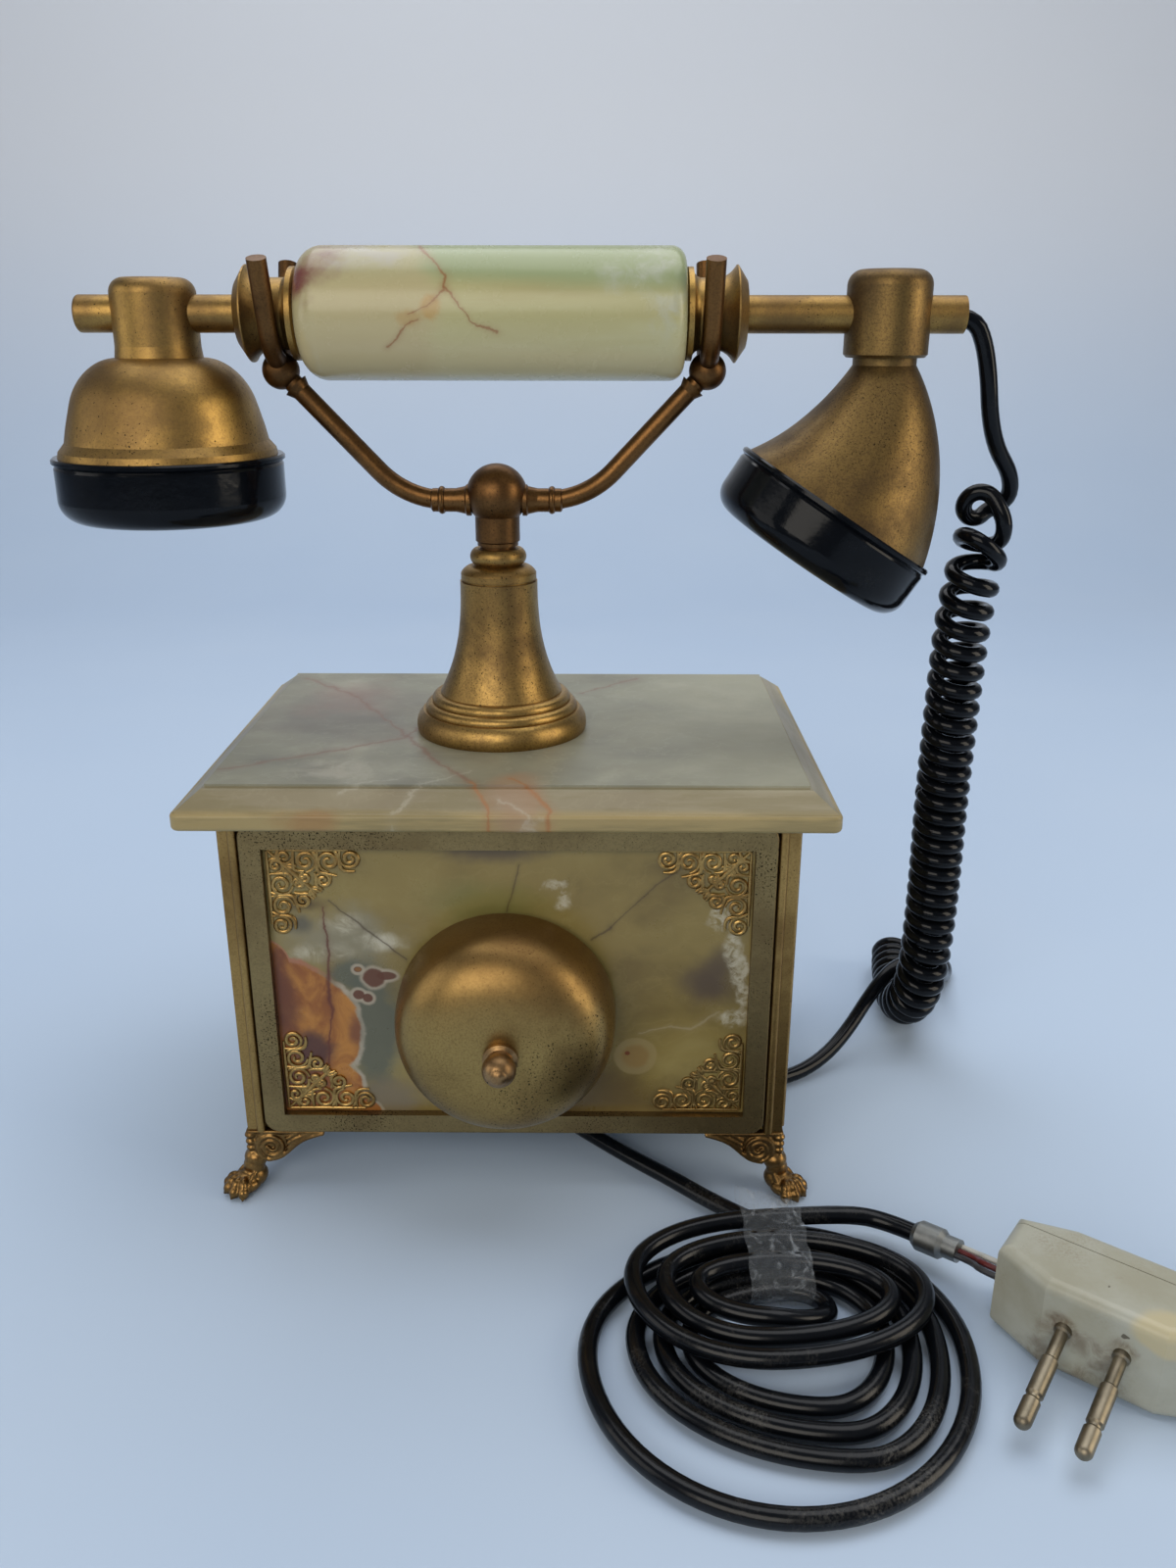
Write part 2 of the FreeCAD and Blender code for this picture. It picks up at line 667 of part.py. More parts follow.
def arm(side):
    """Turned stub out of the ball, then a bar that sweeps up to the knuckle."""
    stub_z = BALL_RISE - ARM_DROP
    slope = math.radians(ARM_SLOPE)
    end = V(fork_reach, 0, knuckle_z - slab_top)
    corner = V(end.x - (end.z - stub_z) / math.tan(slope), 0, stub_z)
    lead = ARM_BEND * math.tan(slope / 2)
    rise = V(math.cos(slope), 0, math.sin(slope))
    into = corner - ALONG * lead
    out_of = corner + rise * lead
    centre = into + V(0, 0, ARM_BEND)
    middle = centre + V(math.sin(slope / 2), 0, -math.cos(slope / 2)) * ARM_BEND
    start = V(BALL_D * 0.3, 0, stub_z)
    wire = Part.Wire([Part.LineSegment(start, into).toShape(), Part.Arc(into, middle, out_of).toShape(),
                      Part.LineSegment(out_of, end).toShape()])
    thin = ARM_D / 2
    waist = ARM_D / 2 + 0.6
    flare = ARM_FLARE_D / 2
    bead = ARM_BEAD_D / 2
    near = BALL_D * 0.42
    root = ARM_BEAD_AT - 4
    stub = lathe([(0, near), (flare, near), (flare, near + 1.2), (flare - 0.5, near + 1.6), [(waist, root)],
                  (waist, ARM_BEAD_AT - 0.9), (bead, ARM_BEAD_AT, waist, ARM_BEAD_AT + 0.9),
                  (waist, ARM_BEAD_AT + 2.6), (thin, ARM_BEAD_AT + 3.0), (0, ARM_BEAD_AT + 3.0)],
                 V(0, 0, stub_z), ALONG)
    collar_at = end - rise * (KNUCKLE_D / 2 + 2.6)
    collar = Part.makeCone(thin, thin + 1.0, 2.2, collar_at, rise)
    bar = fused(pipe(ARM_D, wire), stub, collar)
    bar = bar if side > 0 else mirrored(bar, ALONG)
    return moved(bar, FreeCAD.Placement(pedestal, FreeCAD.Rotation()))


def fork(side):
    """Knuckle ball and two prongs that embrace the spool's waist."""
    lean = math.radians(PRONG_LEAN)
    turn = math.pi / 2 - lean

    def on_ring(angle):
        return V(0, fork_radius * math.sin(angle), -fork_radius * math.cos(angle))

    reach = (PRONG_RISE - on_ring(turn).z) / math.cos(lean)
    tip = on_ring(turn) + V(0, math.sin(lean), math.cos(lean)) * reach
    tip_front = V(0, -tip.y, tip.z)
    wire = Part.Wire([Part.LineSegment(tip_front, on_ring(-turn)).toShape(),
                      Part.Arc(on_ring(-turn), on_ring(0), on_ring(turn)).toShape(),
                      Part.LineSegment(on_ring(turn), tip).toShape()])
    shape = fused(pipe(PRONG_D, wire), ball(KNUCKLE_D, V(0, 0, -fork_radius - KNUCKLE_DROP)))
    waist = rod(SPOOL_WAIST_D + 2 * REST, V(-KNUCKLE_D, 0, 0), V(KNUCKLE_D, 0, 0))
    return moved(shape.cut(waist), FreeCAD.Placement(axis + V(side * fork_reach, 0, 0), FreeCAD.Rotation()))


def make_cradle(down):
    """Ball and stem on the plunger rod, arms, forks, spring and contacts of the hook switch."""
    arms = {side: arm(side) for side in (-1, 1)}
    gap_z = PEDESTAL_TOP_H + CAP_DISC_H + CAP_RING_H + NECK_GAP
    stem_low = gap_z - STEM_GUIDE
    button_top = -down - HOOK_TRAVEL - REST
    stem = STEM_D / 2
    neck = NECK_D / 2
    thin = ROD_D / 2
    wide = BUTTON_D / 2
    button_low = button_top - BUTTON_H
    neck_top = BALL_RISE - BALL_D * 0.3
    steps = [(0, button_low), (wide, button_low), (wide, button_top), (thin, button_top),
             (thin, stem_low), (stem, stem_low), (stem, gap_z), (neck - 0.5, gap_z),
             (neck - 0.5, gap_z + 0.9), (neck, gap_z + 1.3), (neck, neck_top), (0, neck_top)]
    solid = fused(lathe(steps, pedestal), ball(BALL_D, pedestal + V(0, 0, BALL_RISE)))
    save("cradle_stem", solid.cut(arms[-1]).cut(arms[1]))
    save("cradle_arms", arms[-1], arms[1])
    save("cradle_forks", *[fork(side).cut(arms[side]) for side in (-1, 1)])
    save("hook_spring", hook_spring(PEDESTAL_FLOOR + REST, stem_low - REST))
    make_hook_switch(slab_top + button_low)


def hook_spring(low, high):
    """Open coil that lifts the cradle, from the pedestal's floor to the foot of the stem."""
    radius = (SPRING_D - SPRING_WIRE) / 2
    low += SPRING_WIRE / 2
    rise = high - SPRING_WIRE / 2 - low

    def at(turns):
        return pedestal + polar(radius, 360 * turns, low + rise * turns / SPRING_TURNS)

    coil = biarc_wire(at, [k / 4 for k in range(4 * SPRING_TURNS + 1)])
    return pipe(SPRING_WIRE, coil)


def make_hook_switch(button_low):
    """Bracket under the top plate with three contact leaves below the plunger's button."""
    top = slab_z - PLATE_THICK
    x = PEDESTAL_X + BUTTON_D / 2 + LEAF_LENGTH / 3
    first = button_low - REST
    low = first - 3 * LEAF_PITCH
    pieces = [block(x, x + 4, PEDESTAL_Y - 7, PEDESTAL_Y + 7, low, top),
              block(x, x + 12, PEDESTAL_Y - 7, PEDESTAL_Y + 7, top - 2, top)]
    for k in range(3):
        z = first - k * LEAF_PITCH
        pieces.append(block(x + 1 - LEAF_LENGTH, x + 1, PEDESTAL_Y - 3, PEDESTAL_Y + 3, z - LEAF_THICK, z))
    save("hook_switch", fused(*pieces))


# Bell and ringer

def dome_points(radius, depth, count=9):
    """Rounded-square quarter section from the rim to the crown."""
    points = []
    for k in range(count + 1):
        angle = math.pi / 2 * k / count
        points.append((radius * max(math.cos(angle), 0.0) ** (2 / GONG_SQUARE),
                       depth * math.sin(angle) ** (2 / GONG_SQUARE)))
    return points


def make_bell():
    """Gong on a stud through the front panel, held by an acorn nut."""
    radius = GONG_D / 2
    hole = STUD_TIP_D / 2 + SEAT
    outer = dome_points(radius, GONG_DEPTH)
    inner = dome_points(radius - GONG_WALL, GONG_DEPTH - GONG_WALL)
    steps = [outer[0], outer[1:], inner[-1], list(reversed(inner))[1:]]
    gong = lathe(steps).cut(rod(2 * hole, V(0, 0, 0), V(0, 0, 2 * GONG_DEPTH)))
    peak = GONG_GAP + GONG_DEPTH
    seat = peak - GONG_WALL
    gong.translate(V(0, 0, GONG_GAP))
    tail = -PANEL_THICK - PLATE_THICK - STUD_TAIL
    tip = peak + STUD_TIP
    stud = lathe([(0, tail), (STUD_D / 2, tail), (STUD_D / 2, 0), (STUD_SHOULDER_D / 2, 0),
                  (STUD_SHOULDER_D / 2, seat), (STUD_TIP_D / 2, seat), (STUD_TIP_D / 2, tip), (0, tip)])
    wide = NUT_D / 2
    top = peak + NUT_H
    nut = lathe([(hole, peak), (wide, peak), (wide, peak + 1.4), (wide - 1.1, peak + 1.9),
                 (wide - 1.4, peak + 3.6), (wide - 0.4, peak + 4.4),
                 (wide - 0.3, peak + 6.6, wide * 0.5, top - 1.0), crown(wide * 0.5, top - 1.0, top),
                 (0, tip + REST), (hole, tip + REST)])
    for node, shape in (("gong", gong.cut(stud)), ("gong_stud", stud), ("gong_nut", nut)):
        save(node, on_side(shape, 0, panel_y, GONG_X, GONG_Z))


def make_ringer():
    """Frame behind the front panel, two coils, and the armature whose hammer reaches into the gong."""
    back = -PANEL_THICK - PLATE_THICK
    plate = block(-RINGER_LEFT, RINGER_RIGHT, -RINGER_HALF, RINGER_HALF, back, -PANEL_THICK)
    plate = plate.cut(rod(STUD_D + 2 * SEAT, V(0, 0, back - 1), V(0, 0, 0)))
    plate = plate.cut(rod(HAMMER_HOLE_D, V(HAMMER_AT, 0, back - 1), V(HAMMER_AT, 0, 0)))
    hub = PIVOT_HUB_D / 2
    lug_in = ARMATURE_HALF + REST
    pivot_w = -PIVOT_BACK
    lug_out = lug_in + LUG_THICK
    left = HAMMER_AT - hub
    right = HAMMER_AT + hub
    pieces = [plate, rod(PIVOT_D, V(HAMMER_AT, -lug_out, pivot_w), V(HAMMER_AT, lug_out, pivot_w))]
    for low in (lug_in, -lug_out):
        pieces.append(block(left, right, low, low + LUG_THICK, pivot_w - hub, -PANEL_THICK - 0.5))
    frame = fused(*pieces)
    coils = []
    for v in (-COIL_SPACING / 2, COIL_SPACING / 2):
        at = V(COIL_X, v, back)
        core = rod(COIL_CORE_D, at, at - V(0, 0, COIL_LENGTH + 0.8))
        cheek = rod(COIL_D, at - V(0, 0, COIL_LENGTH - 0.8), at - V(0, 0, COIL_LENGTH))
        winding = rod(COIL_D - 1.6, at - V(0, 0, 0.8), at - V(0, 0, COIL_LENGTH))
        coils.append(fused(core, winding, cheek, rod(COIL_D, at, at - V(0, 0, 0.8))))
    half = ARMATURE_HALF
    bore = rod(PIVOT_D + 2 * RUN, V(HAMMER_AT, -half - 1, pivot_w), V(HAMMER_AT, half + 1, pivot_w))
    tube = rod(PIVOT_HUB_D, V(HAMMER_AT, -half, pivot_w), V(HAMMER_AT, half, pivot_w))
    blade = block(HAMMER_AT - ARMATURE_REACH, HAMMER_AT, -half, half, pivot_w - ARMATURE_THICK / 2,
                  pivot_w + ARMATURE_THICK / 2)
    head = V(HAMMER_AT, 0, HAMMER_REACH)
    stalk = rod(HAMMER_ROD_D, V(HAMMER_AT, 0, pivot_w + PIVOT_D), head)
    clapper = fused(tube, blade, stalk, ball(HAMMER_BALL_D, head)).cut(bore)
    save("ringer_frame", on_side(frame, 0, panel_y, GONG_X, GONG_Z))
    save("ringer_coils", *[on_side(coil, 0, panel_y, GONG_X, GONG_Z) for coil in coils])
    save("clapper", on_side(clapper, 0, panel_y, GONG_X, GONG_Z))


# Dial, in the rear side's own frame: right, up, outwards from the panel's face

def polar(radius, degrees, height=0.0):
    angle = math.radians(degrees)
    return V(radius * math.cos(angle), radius * math.sin(angle), height)


def spur(teeth, module, low, thick, first):
    """Gear with straight-sided teeth, one of them centred on the first angle."""
    pitch = module * teeth / 2
    step = 360 / teeth
    share = step * TOOTH_SHARE
    corners = []
    for k in range(teeth):
        middle = first + k * step
        for part, radius in ((-0.7, pitch - DEDENDUM * module), (-0.35, pitch + ADDENDUM * module),
                             (0.35, pitch + ADDENDUM * module), (0.7, pitch - DEDENDUM * module)):
            corners.append(polar(radius, middle + part * share, low))
    return Part.Face(Part.makePolygon(corners + corners[:1])).extrude(V(0, 0, thick))


def make_dial():
    recess = DIAL_FLANGE_THICK - PLATE_RECESS
    cup_low = recess - DIAL_CUP_DEPTH
    back = cup_low - PLATE_THICK
    plate_low = recess - NUMBER_PLATE_THICK
    train = GEAR_MODULE * (GEAR_TEETH + PINION_TEETH) / 2
    second = TRAIN_MODULE * (TRAIN_TEETH + GOVERNOR_TEETH) / 2
    pulse_at = polar(train, TRAIN_ANGLE)
    governor_at = pulse_at + polar(second, TRAIN_ANGLE + GOVERNOR_TURN)
    gear_high = back - GEAR_GAP
    gear_low = gear_high - GEAR_THICK
    train_low = gear_low - REST - 1.5 - TRAIN_THICK
    cam_low = train_low - CAM_H - REST
    make_dial_case(back, cup_low, plate_low, pulse_at, governor_at, cam_low)
    wheel_low = recess + WHEEL_GAP
    wheel_top = wheel_low + WHEEL_THICK
    make_finger_wheel(wheel_low, wheel_top)
    make_finger_stop(wheel_top)

    tip = SHAFT_TIP_D / 2
    shaft = lathe([(0, gear_low - 1), (SHAFT_D / 2, gear_low - 1), (SHAFT_D / 2, wheel_low), (tip, wheel_low),
                   (tip, wheel_top + 1), (0, wheel_top + 1)])
    save_dial("dial_gear", fused(shaft, spur(GEAR_TEETH, GEAR_MODULE, gear_low, GEAR_THICK, TRAIN_ANGLE)))

    bore_d = AXLE_D + 2 * RUN
    facing = TRAIN_ANGLE + 180
    pinion = spur(PINION_TEETH, GEAR_MODULE, gear_low - 0.5, GEAR_THICK + 1, facing + 180 / PINION_TEETH)
    wheel = spur(TRAIN_TEETH, TRAIN_MODULE, train_low, TRAIN_THICK, TRAIN_ANGLE + GOVERNOR_TURN)
    neck = rod(CAM_D - 1, V(0, 0, cam_low), V(0, 0, gear_low))
    cam = block(-CAM_D / 2, CAM_D / 2, -CAM_D / 4, CAM_D / 4, cam_low, cam_low + CAM_H)
    pulse = fused(pinion, wheel, neck, cam).cut(rod(bore_d, V(0, 0, cam_low - 1), V(0, 0, gear_high + 2)))
    pulse.translate(pulse_at)
    save_dial("pulse_wheel", pulse)

    back_facing = TRAIN_ANGLE + GOVERNOR_TURN + 180
    small = spur(GOVERNOR_TEETH, TRAIN_MODULE, train_low - 0.4, TRAIN_THICK + 0.8,
                 back_facing + 180 / GOVERNOR_TEETH)
    drum = rod(GOVERNOR_D, V(0, 0, gear_low), V(0, 0, gear_low + GOVERNOR_H))
    drum = drum.cut(block(-GOVERNOR_D, GOVERNOR_D, -0.6, 0.6, gear_low, gear_low + GOVERNOR_H + 1)
                    .cut(rod(GOVERNOR_D * 0.55, V(0, 0, gear_low), V(0, 0, gear_low + GOVERNOR_H + 1))))
    stalk = rod(AXLE_D + 2.0, V(0, 0, train_low - 0.4), V(0, 0, gear_low + GOVERNOR_H))
    governor = fused(small, drum, stalk)
    governor = governor.cut(rod(bore_d, V(0, 0, train_low - 2), V(0, 0, gear_high + 2)))
    governor.translate(governor_at)
    save_dial("governor", governor)
    make_pulse_contacts(back, pulse_at, cam_low)


def save_dial(node, *shapes):
    save(node, *[on_side(shape, 180, panel_y, 0, DIAL_Z) for shape in shapes])


def make_dial_case(back, cup_low, plate_low, pulse_at, governor_at, cam_low):
    """Cup through the rear panel with its flange outside, hub for the shaft and axles for the train."""
    flange = DIAL_FLANGE_D / 2
    cup = DIAL_CUP_D / 2
    inside = cup - DIAL_CUP_WALL
    bearing = SHAFT_D / 2 + RUN
    hub = DIAL_HUB_D / 2
    face = DIAL_FLANGE_THICK
    case = lathe([(bearing, back), (cup, back), (cup, 0), (flange, 0), (flange, face - 0.8),
                  (flange - 0.8, face), (inside, face), (inside, cup_low), (hub, cup_low),
                  (hub, plate_low), (bearing, plate_low)])
    axles = [rod(AXLE_D, at + V(0, 0, cam_low), at + V(0, 0, back + 0.5)) for at in (pulse_at, governor_at)]
    save_dial("dial_case", fused(case, *axles))
    plate_top = plate_low + NUMBER_PLATE_THICK
    edge = inside - FIT
    save_dial("number_plate", lathe([(bearing + 1, plate_low), (edge, plate_low), (edge, plate_top),
                                     (bearing + 1, plate_top)]))


def make_finger_wheel(low, top):
    """Wheel with ten finger holes and the domed cap over its screw."""
    tip = SHAFT_TIP_D / 2 + SEAT
    edge = WHEEL_D / 2
    wheel = lathe([(tip, low), (edge, low), (edge, top - 0.4), (edge - 0.4, top), (tip, top)])
    for k in range(FINGER_COUNT):
        at = polar(FINGER_RING, FINGER_FIRST + k * FINGER_STEP, low - 1)
        wheel = wheel.cut(rod(FINGER_HOLE_D, at, at + V(0, 0, WHEEL_THICK + 2)))
    save_dial("finger_wheel", wheel)
    cap = DIAL_CAP_D / 2
    high = top + DIAL_CAP_H
    hollow = top + 1 + REST
    save_dial("dial_cap", lathe([(tip, top), (cap, top), (cap, top + 0.8), crown(cap, top + 0.8, high),
                                 (0, hollow), (tip, hollow)]))


def make_finger_stop(wheel_top):
    """Bent stop from the flange over the rim of the wheel."""
    flange = DIAL_FLANGE_D / 2
    rise = wheel_top + REST
    half = STOP_WIDTH / 2
    inner = WHEEL_D / 2 - STOP_REACH
    wall = flange - 0.8 - WHEEL_D / 2 - REST
    leg = block(flange - 0.8 - wall, flange - 0.8, -half, half, DIAL_FLANGE_THICK, rise + 1.2)
    hook = block(inner, flange - 0.8, -half, half, rise, rise + 1.2)
    stop = fused(leg, hook)
    stop.rotate(V(0, 0, 0), UP, STOP_ANGLE)
    save_dial("finger_stop", stop)


def make_pulse_contacts(back, pulse_at, cam_low):
    """Two leaves on an insulating block beside the cam, hung from the back of the case."""
    side = polar(1, TRAIN_ANGLE - 90)
    out = polar(1, TRAIN_ANGLE)
    base = pulse_at + side * (TRAIN_MODULE * (TRAIN_TEETH + 4) / 2 + 3)
    turn = FreeCAD.Placement(base, FreeCAD.Rotation(ALONG, out))
    stack = block(-2.5, 2.5, -2, 2, cam_low, back)
    leaves = [block(-CAM_D, 2.5, y, y + LEAF_THICK, cam_low - CAM_H, cam_low + 0.5) for y in (-1.5, 1.0)]
    save_dial("pulse_contacts", moved(fused(stack, *leaves), turn))


# Pieces on the base plate

def make_electrics():
    size = TERMINAL_SIZE
    x = inner_x - FIT - size.x - TERMINAL_MARGIN
    y = HANDSET_GROMMET_Y + GROMMET_D
    body = block(x, x + size.x, y, y + size.y, plate_z, plate_z + size.z)
    screws = []
    for k in range(5):
        at = V(x + size.x * (k + 0.5) / 5, y + size.y / 2, plate_z + size.z - TERMINAL_SCREW_DEEP)
        body = body.cut(rod(TERMINAL_SCREW_D + 2 * SEAT, at, at + V(0, 0, size.z)))
        screws.append(rod(TERMINAL_SCREW_D, at, at + V(0, 0, TERMINAL_SCREW_HEIGHT)))
    save("terminal_block", body, *screws)
    size = INDUCTION_SIZE
    x = -inner_x + INNER_MARGIN
    y = -size.y / 2 - INDUCTION_FORWARD
    core = block(x, x + size.x, y, y + size.y, plate_z, plate_z + size.z)
    left = x + INDUCTION_YOKE
    right = x + size.x - INDUCTION_YOKE
    low = plate_z + INDUCTION_YOKE
    high = plate_z + size.z - INDUCTION_YOKE
    core = core.cut(block(left, right, y - 1, y + size.y + 1, low, high))
    front = y - INDUCTION_PROUD
    back = y + size.y + INDUCTION_PROUD
    winding = block(left + FIT, right - FIT, front, back, low + SEAT, high - FIT)
    save("induction_coil", core, winding)
    size = CAPACITOR_SIZE
    x = -inner_x + INNER_MARGIN
    can = block(x, x + size.x, CAPACITOR_BACK, CAPACITOR_BACK + size.y, plate_z, plate_z + size.z)
    save("capacitor", can.makeFillet(CAPACITOR_ROUND, [e for e in can.Edges if abs(e.tangentAt(0).z) > 0.9]))


# Handset

def make_handset():
    left_end = axis - ALONG * (HANDLE_LENGTH / 2)
    right_end = axis + ALONG * (HANDLE_LENGTH / 2)
    bore = TUBE_D + 2 * SEAT
    grip = rod(HANDLE_D, left_end, right_end)
    rims = [e for e in grip.Edges if e.BoundBox.XLength < 0.01]
    rims.sort(key=lambda e: e.BoundBox.XMin)
    grip = grip.makeFillet(HANDLE_LEFT_ROUND, [rims[0]])
    rims = [e for e in grip.Edges if e.BoundBox.XMin > right_end.x - 0.01]
    grip = grip.makeFillet(HANDLE_RIGHT_ROUND, rims)
    through = rod(bore, axis - ALONG * (2 * TUBE_RIGHT), axis + ALONG * (2 * TUBE_RIGHT))
    save("handle", grip.cut(through))
    tube_left = axis - ALONG * TUBE_LEFT
    tube_right = axis + ALONG * TUBE_RIGHT
    tube = rod(TUBE_D, tube_left, tube_right).cut(rod(TUBE_BORE, tube_left + ALONG * 6, tube_right + ALONG))
    closed_end = [e for e in tube.Edges if e.BoundBox.XMax < tube_left.x + 0.01]
    save("handset_tube", tube.makeFillet(0.8, closed_end))
    save("handset_spools", spool(left_end, ALONG * -1), spool(right_end, ALONG))
    make_ear(through)
    make_mouth(through)


def spool(start, direction):
    """Turned spool between the handle and the tube, with the waist that lies in the fork."""
    bore = TUBE_D / 2 + SEAT
    rim = SPOOL_RIM_D / 2
    waist = SPOOL_WAIST_D / 2
    flange = SPOOL_FLANGE_D / 2
    left = SPOOL_WAIST_AT - SPOOL_WAIST / 2
    right = SPOOL_WAIST_AT + SPOOL_WAIST / 2
    return lathe([(bore, 0), (rim - 0.6, 0), (rim, 0.6), (rim, SPOOL_RIM),
                  (waist + (rim - waist) * 0.25, (SPOOL_RIM + left) / 2 - 0.2, waist, left), (waist, right),
                  (waist + (flange - waist) * 0.3, (right + SPOOL_FLANGE_AT) / 2, flange, SPOOL_FLANGE_AT),
                  (flange, SPOOL_FLANGE_AT + 0.4), (SPOOL_FACE_D / 2, SPOOL_LENGTH), (bore, SPOOL_LENGTH)],
                 start, direction)


def cover():
    """Black screw-on cover in its own frame: zero at the shell's rim, face at +Z."""
    radius = COVER_D / 2
    lip = radius + COVER_LIP_OUT
    inside = spigot_radius() + SEAT
    floor = COVER_DEPTH - COVER_WALL
    deep = radius - COVER_ROUND * 0.3
    shell = lathe([(inside, 0), (lip - 0.5, 0), (lip, 0.5), (lip, COVER_LIP - 0.3),
                   (radius - 0.4, COVER_LIP + 0.4), (radius, COVER_LIP + 1.2),
                   (radius, COVER_DEPTH - COVER_ROUND),
                   (deep, COVER_DEPTH - COVER_ROUND * 0.3, radius - COVER_ROUND, COVER_DEPTH),
                   (0, COVER_DEPTH - 0.8), (0, floor), (inside, floor)])
    for k in range(6):
        at = polar(SOUND_RING, 60 * k)
        shell = shell.cut(rod(SOUND_HOLE_D, at, at + V(0, 0, 2 * COVER_DEPTH)))
    return shell.cut(rod(SOUND_HOLE_D, V(0, 0, 0), V(0, 0, 2 * COVER_DEPTH)))


def spigot_radius():
    return COVER_D / 2 - COVER_WALL - 0.6


def spigot():
    """Threaded ring under a shell's rim, inside the cover."""
    outer = spigot_radius()
    inner = outer - SPIGOT_WALL
    return rod(2 * outer, V(0, 0, -HORN_WALL), V(0, 0, SPIGOT)).cut(
        rod(2 * inner, V(0, 0, -2 * HORN_WALL), V(0, 0, 2 * SPIGOT)))


def capsule():
    """Sealed capsule that lies on the cover's floor."""
    floor = COVER_DEPTH - COVER_WALL
    body = rod(CAPSULE_D, V(0, 0, floor - CAPSULE_H), V(0, 0, floor))
    return fused(body, rod(CAPSULE_D * 0.5, V(0, 0, floor - CAPSULE_H - 2), V(0, 0, floor - CAPSULE_H)))


def set_screw(x, top):
    """Slotted screw from a block's top down to the tube."""
    low = V(x, PEDESTAL_Y, axis_z + TUBE_D / 2 + SEAT)
    high = V(x, PEDESTAL_Y, top - SET_SCREW_SINK)
    slot = block(x - SET_SCREW_D, x + SET_SCREW_D, PEDESTAL_Y - 0.4, PEDESTAL_Y + 0.4,
                 high.z - 0.8, high.z + 1)
    return rod(SET_SCREW_D, low, high).cut(slot)


def screw_hole(x):
    low = V(x, PEDESTAL_Y, axis_z)
    return rod(SET_SCREW_D + 2 * SEAT, low, low + V(0, 0, BLOCK_D))


def ear_outline(inset):
    """Bell-shaped side of the ear shell below its block, as (radius, height from the tube's axis)."""
    rim = COVER_D / 2 - 1.4
    depth = EAR_RIM_DROP - EAR_BLOCK_DROP
    shape = ((0.02, 0.10), (0.27, 0.14), (0.56, 0.29), (0.70, 0.44), (0.765, 0.57), (0.83, 0.72),
             (0.88, 0.865))
    block_r = BLOCK_D / 2
    points = [(block_r + (rim - block_r) * a - inset, -EAR_BLOCK_DROP - depth * b) for a, b in shape]
    return points, (rim - inset, -EAR_RIM_DROP)


def make_ear(through):
    """Ear shell with its block, cover and receiver capsule, on a vertical axis."""
    block_r = BLOCK_D / 2
    points, rim = ear_outline(0)
    inner, inner_rim = ear_outline(EAR_WALL)
    flare = (rim[0] - 0.3, rim[1] + 1.6)
    at = axis - ALONG * EAR_AT
    shell = lathe([(0, EAR_TOP), (block_r - BLOCK_ROUND, EAR_TOP),
                   (block_r - BLOCK_ROUND * 0.3, EAR_TOP - BLOCK_ROUND * 0.3, block_r, EAR_TOP - BLOCK_ROUND),
                   (block_r, -EAR_BLOCK_DROP), points[0], points[1:], flare, rim, inner_rim,
                   list(reversed(inner))[:-1], (inner[1][0] - 4, inner[1][1]), (0, inner[1][1])], at)
    facing = V(0, 0, -1)
    low = at + V(0, 0, -EAR_RIM_DROP)
    ring = aimed(spigot(), low, facing)
    shell = fused(shell, ring).cut(through).cut(screw_hole(at.x))
    save("ear_shell", shell)
    save("ear_cap", aimed(cover(), low, facing))
    save("receiver_capsule", aimed(capsule(), low, facing))


def horn_ring(share, inset):
    """Circle of the horn at a share of the way from the neck to the rim, tilting as it goes."""
    neck_r = HORN_NECK_D / 2
    rim_r = HORN_RIM_D / 2
    swell = math.sin(share * math.pi / 2)
    tilt = math.radians(HORN_TILT) * share ** 1.7
    centre = axis + V(MOUTH_AT - HORN_RIM_BACK * share ** 1.6, 0, -MOUTH_BLOCK_DROP - 2
                      - (HORN_RIM_DROP - MOUTH_BLOCK_DROP - 2) * share)
    normal = V(-math.sin(tilt), 0, -math.cos(tilt))
    radius = neck_r + (rim_r - neck_r) * (0.72 * share + 0.28 * swell) - inset
    return Part.Wire([Part.Circle(centre, normal, radius).toShape()]), centre, normal


def make_mouth(through):
    """Mouth horn that bends from its block towards the mouth, with cover and transmitter capsule."""
    at = axis + ALONG * MOUTH_AT
    block_r = BLOCK_D / 2
    neck_r = HORN_NECK_D / 2
    low = -MOUTH_BLOCK_DROP
    turn = BLOCK_ROUND * 0.3
    head = lathe([(0, MOUTH_TOP), (block_r - BLOCK_ROUND, MOUTH_TOP),
                  (block_r - turn, MOUTH_TOP - turn, block_r, MOUTH_TOP - BLOCK_ROUND),
                  (block_r, low + 0.8), (block_r - 0.8, low), (neck_r, low), (neck_r, low - 2),
                  (0, low - 2)], at)
    shares = (0.0, 0.12, 0.27, 0.42, 0.58, 0.78, 1.0)
    outside = Part.makeLoft([horn_ring(s, 0)[0] for s in shares], True, False)
    inside = Part.makeLoft([horn_ring(s, HORN_WALL)[0] for s in shares[1:]], True, False)
    _, centre, normal = horn_ring(1.0, 0)
    horn = fused(head, outside).cut(inside)
    horn = fused(horn, aimed(spigot(), centre, normal)).cut(through).cut(screw_hole(at.x))
    save("mouth_horn", horn)
    save("mouth_cap", aimed(cover(), centre, normal))
    save("transmitter_capsule", aimed(capsule(), centre, normal))
    ear_x = axis.x - EAR_AT
    save("handset_screws", set_screw(ear_x, axis_z + EAR_TOP), set_screw(at.x, axis_z + MOUTH_TOP))


# Cords

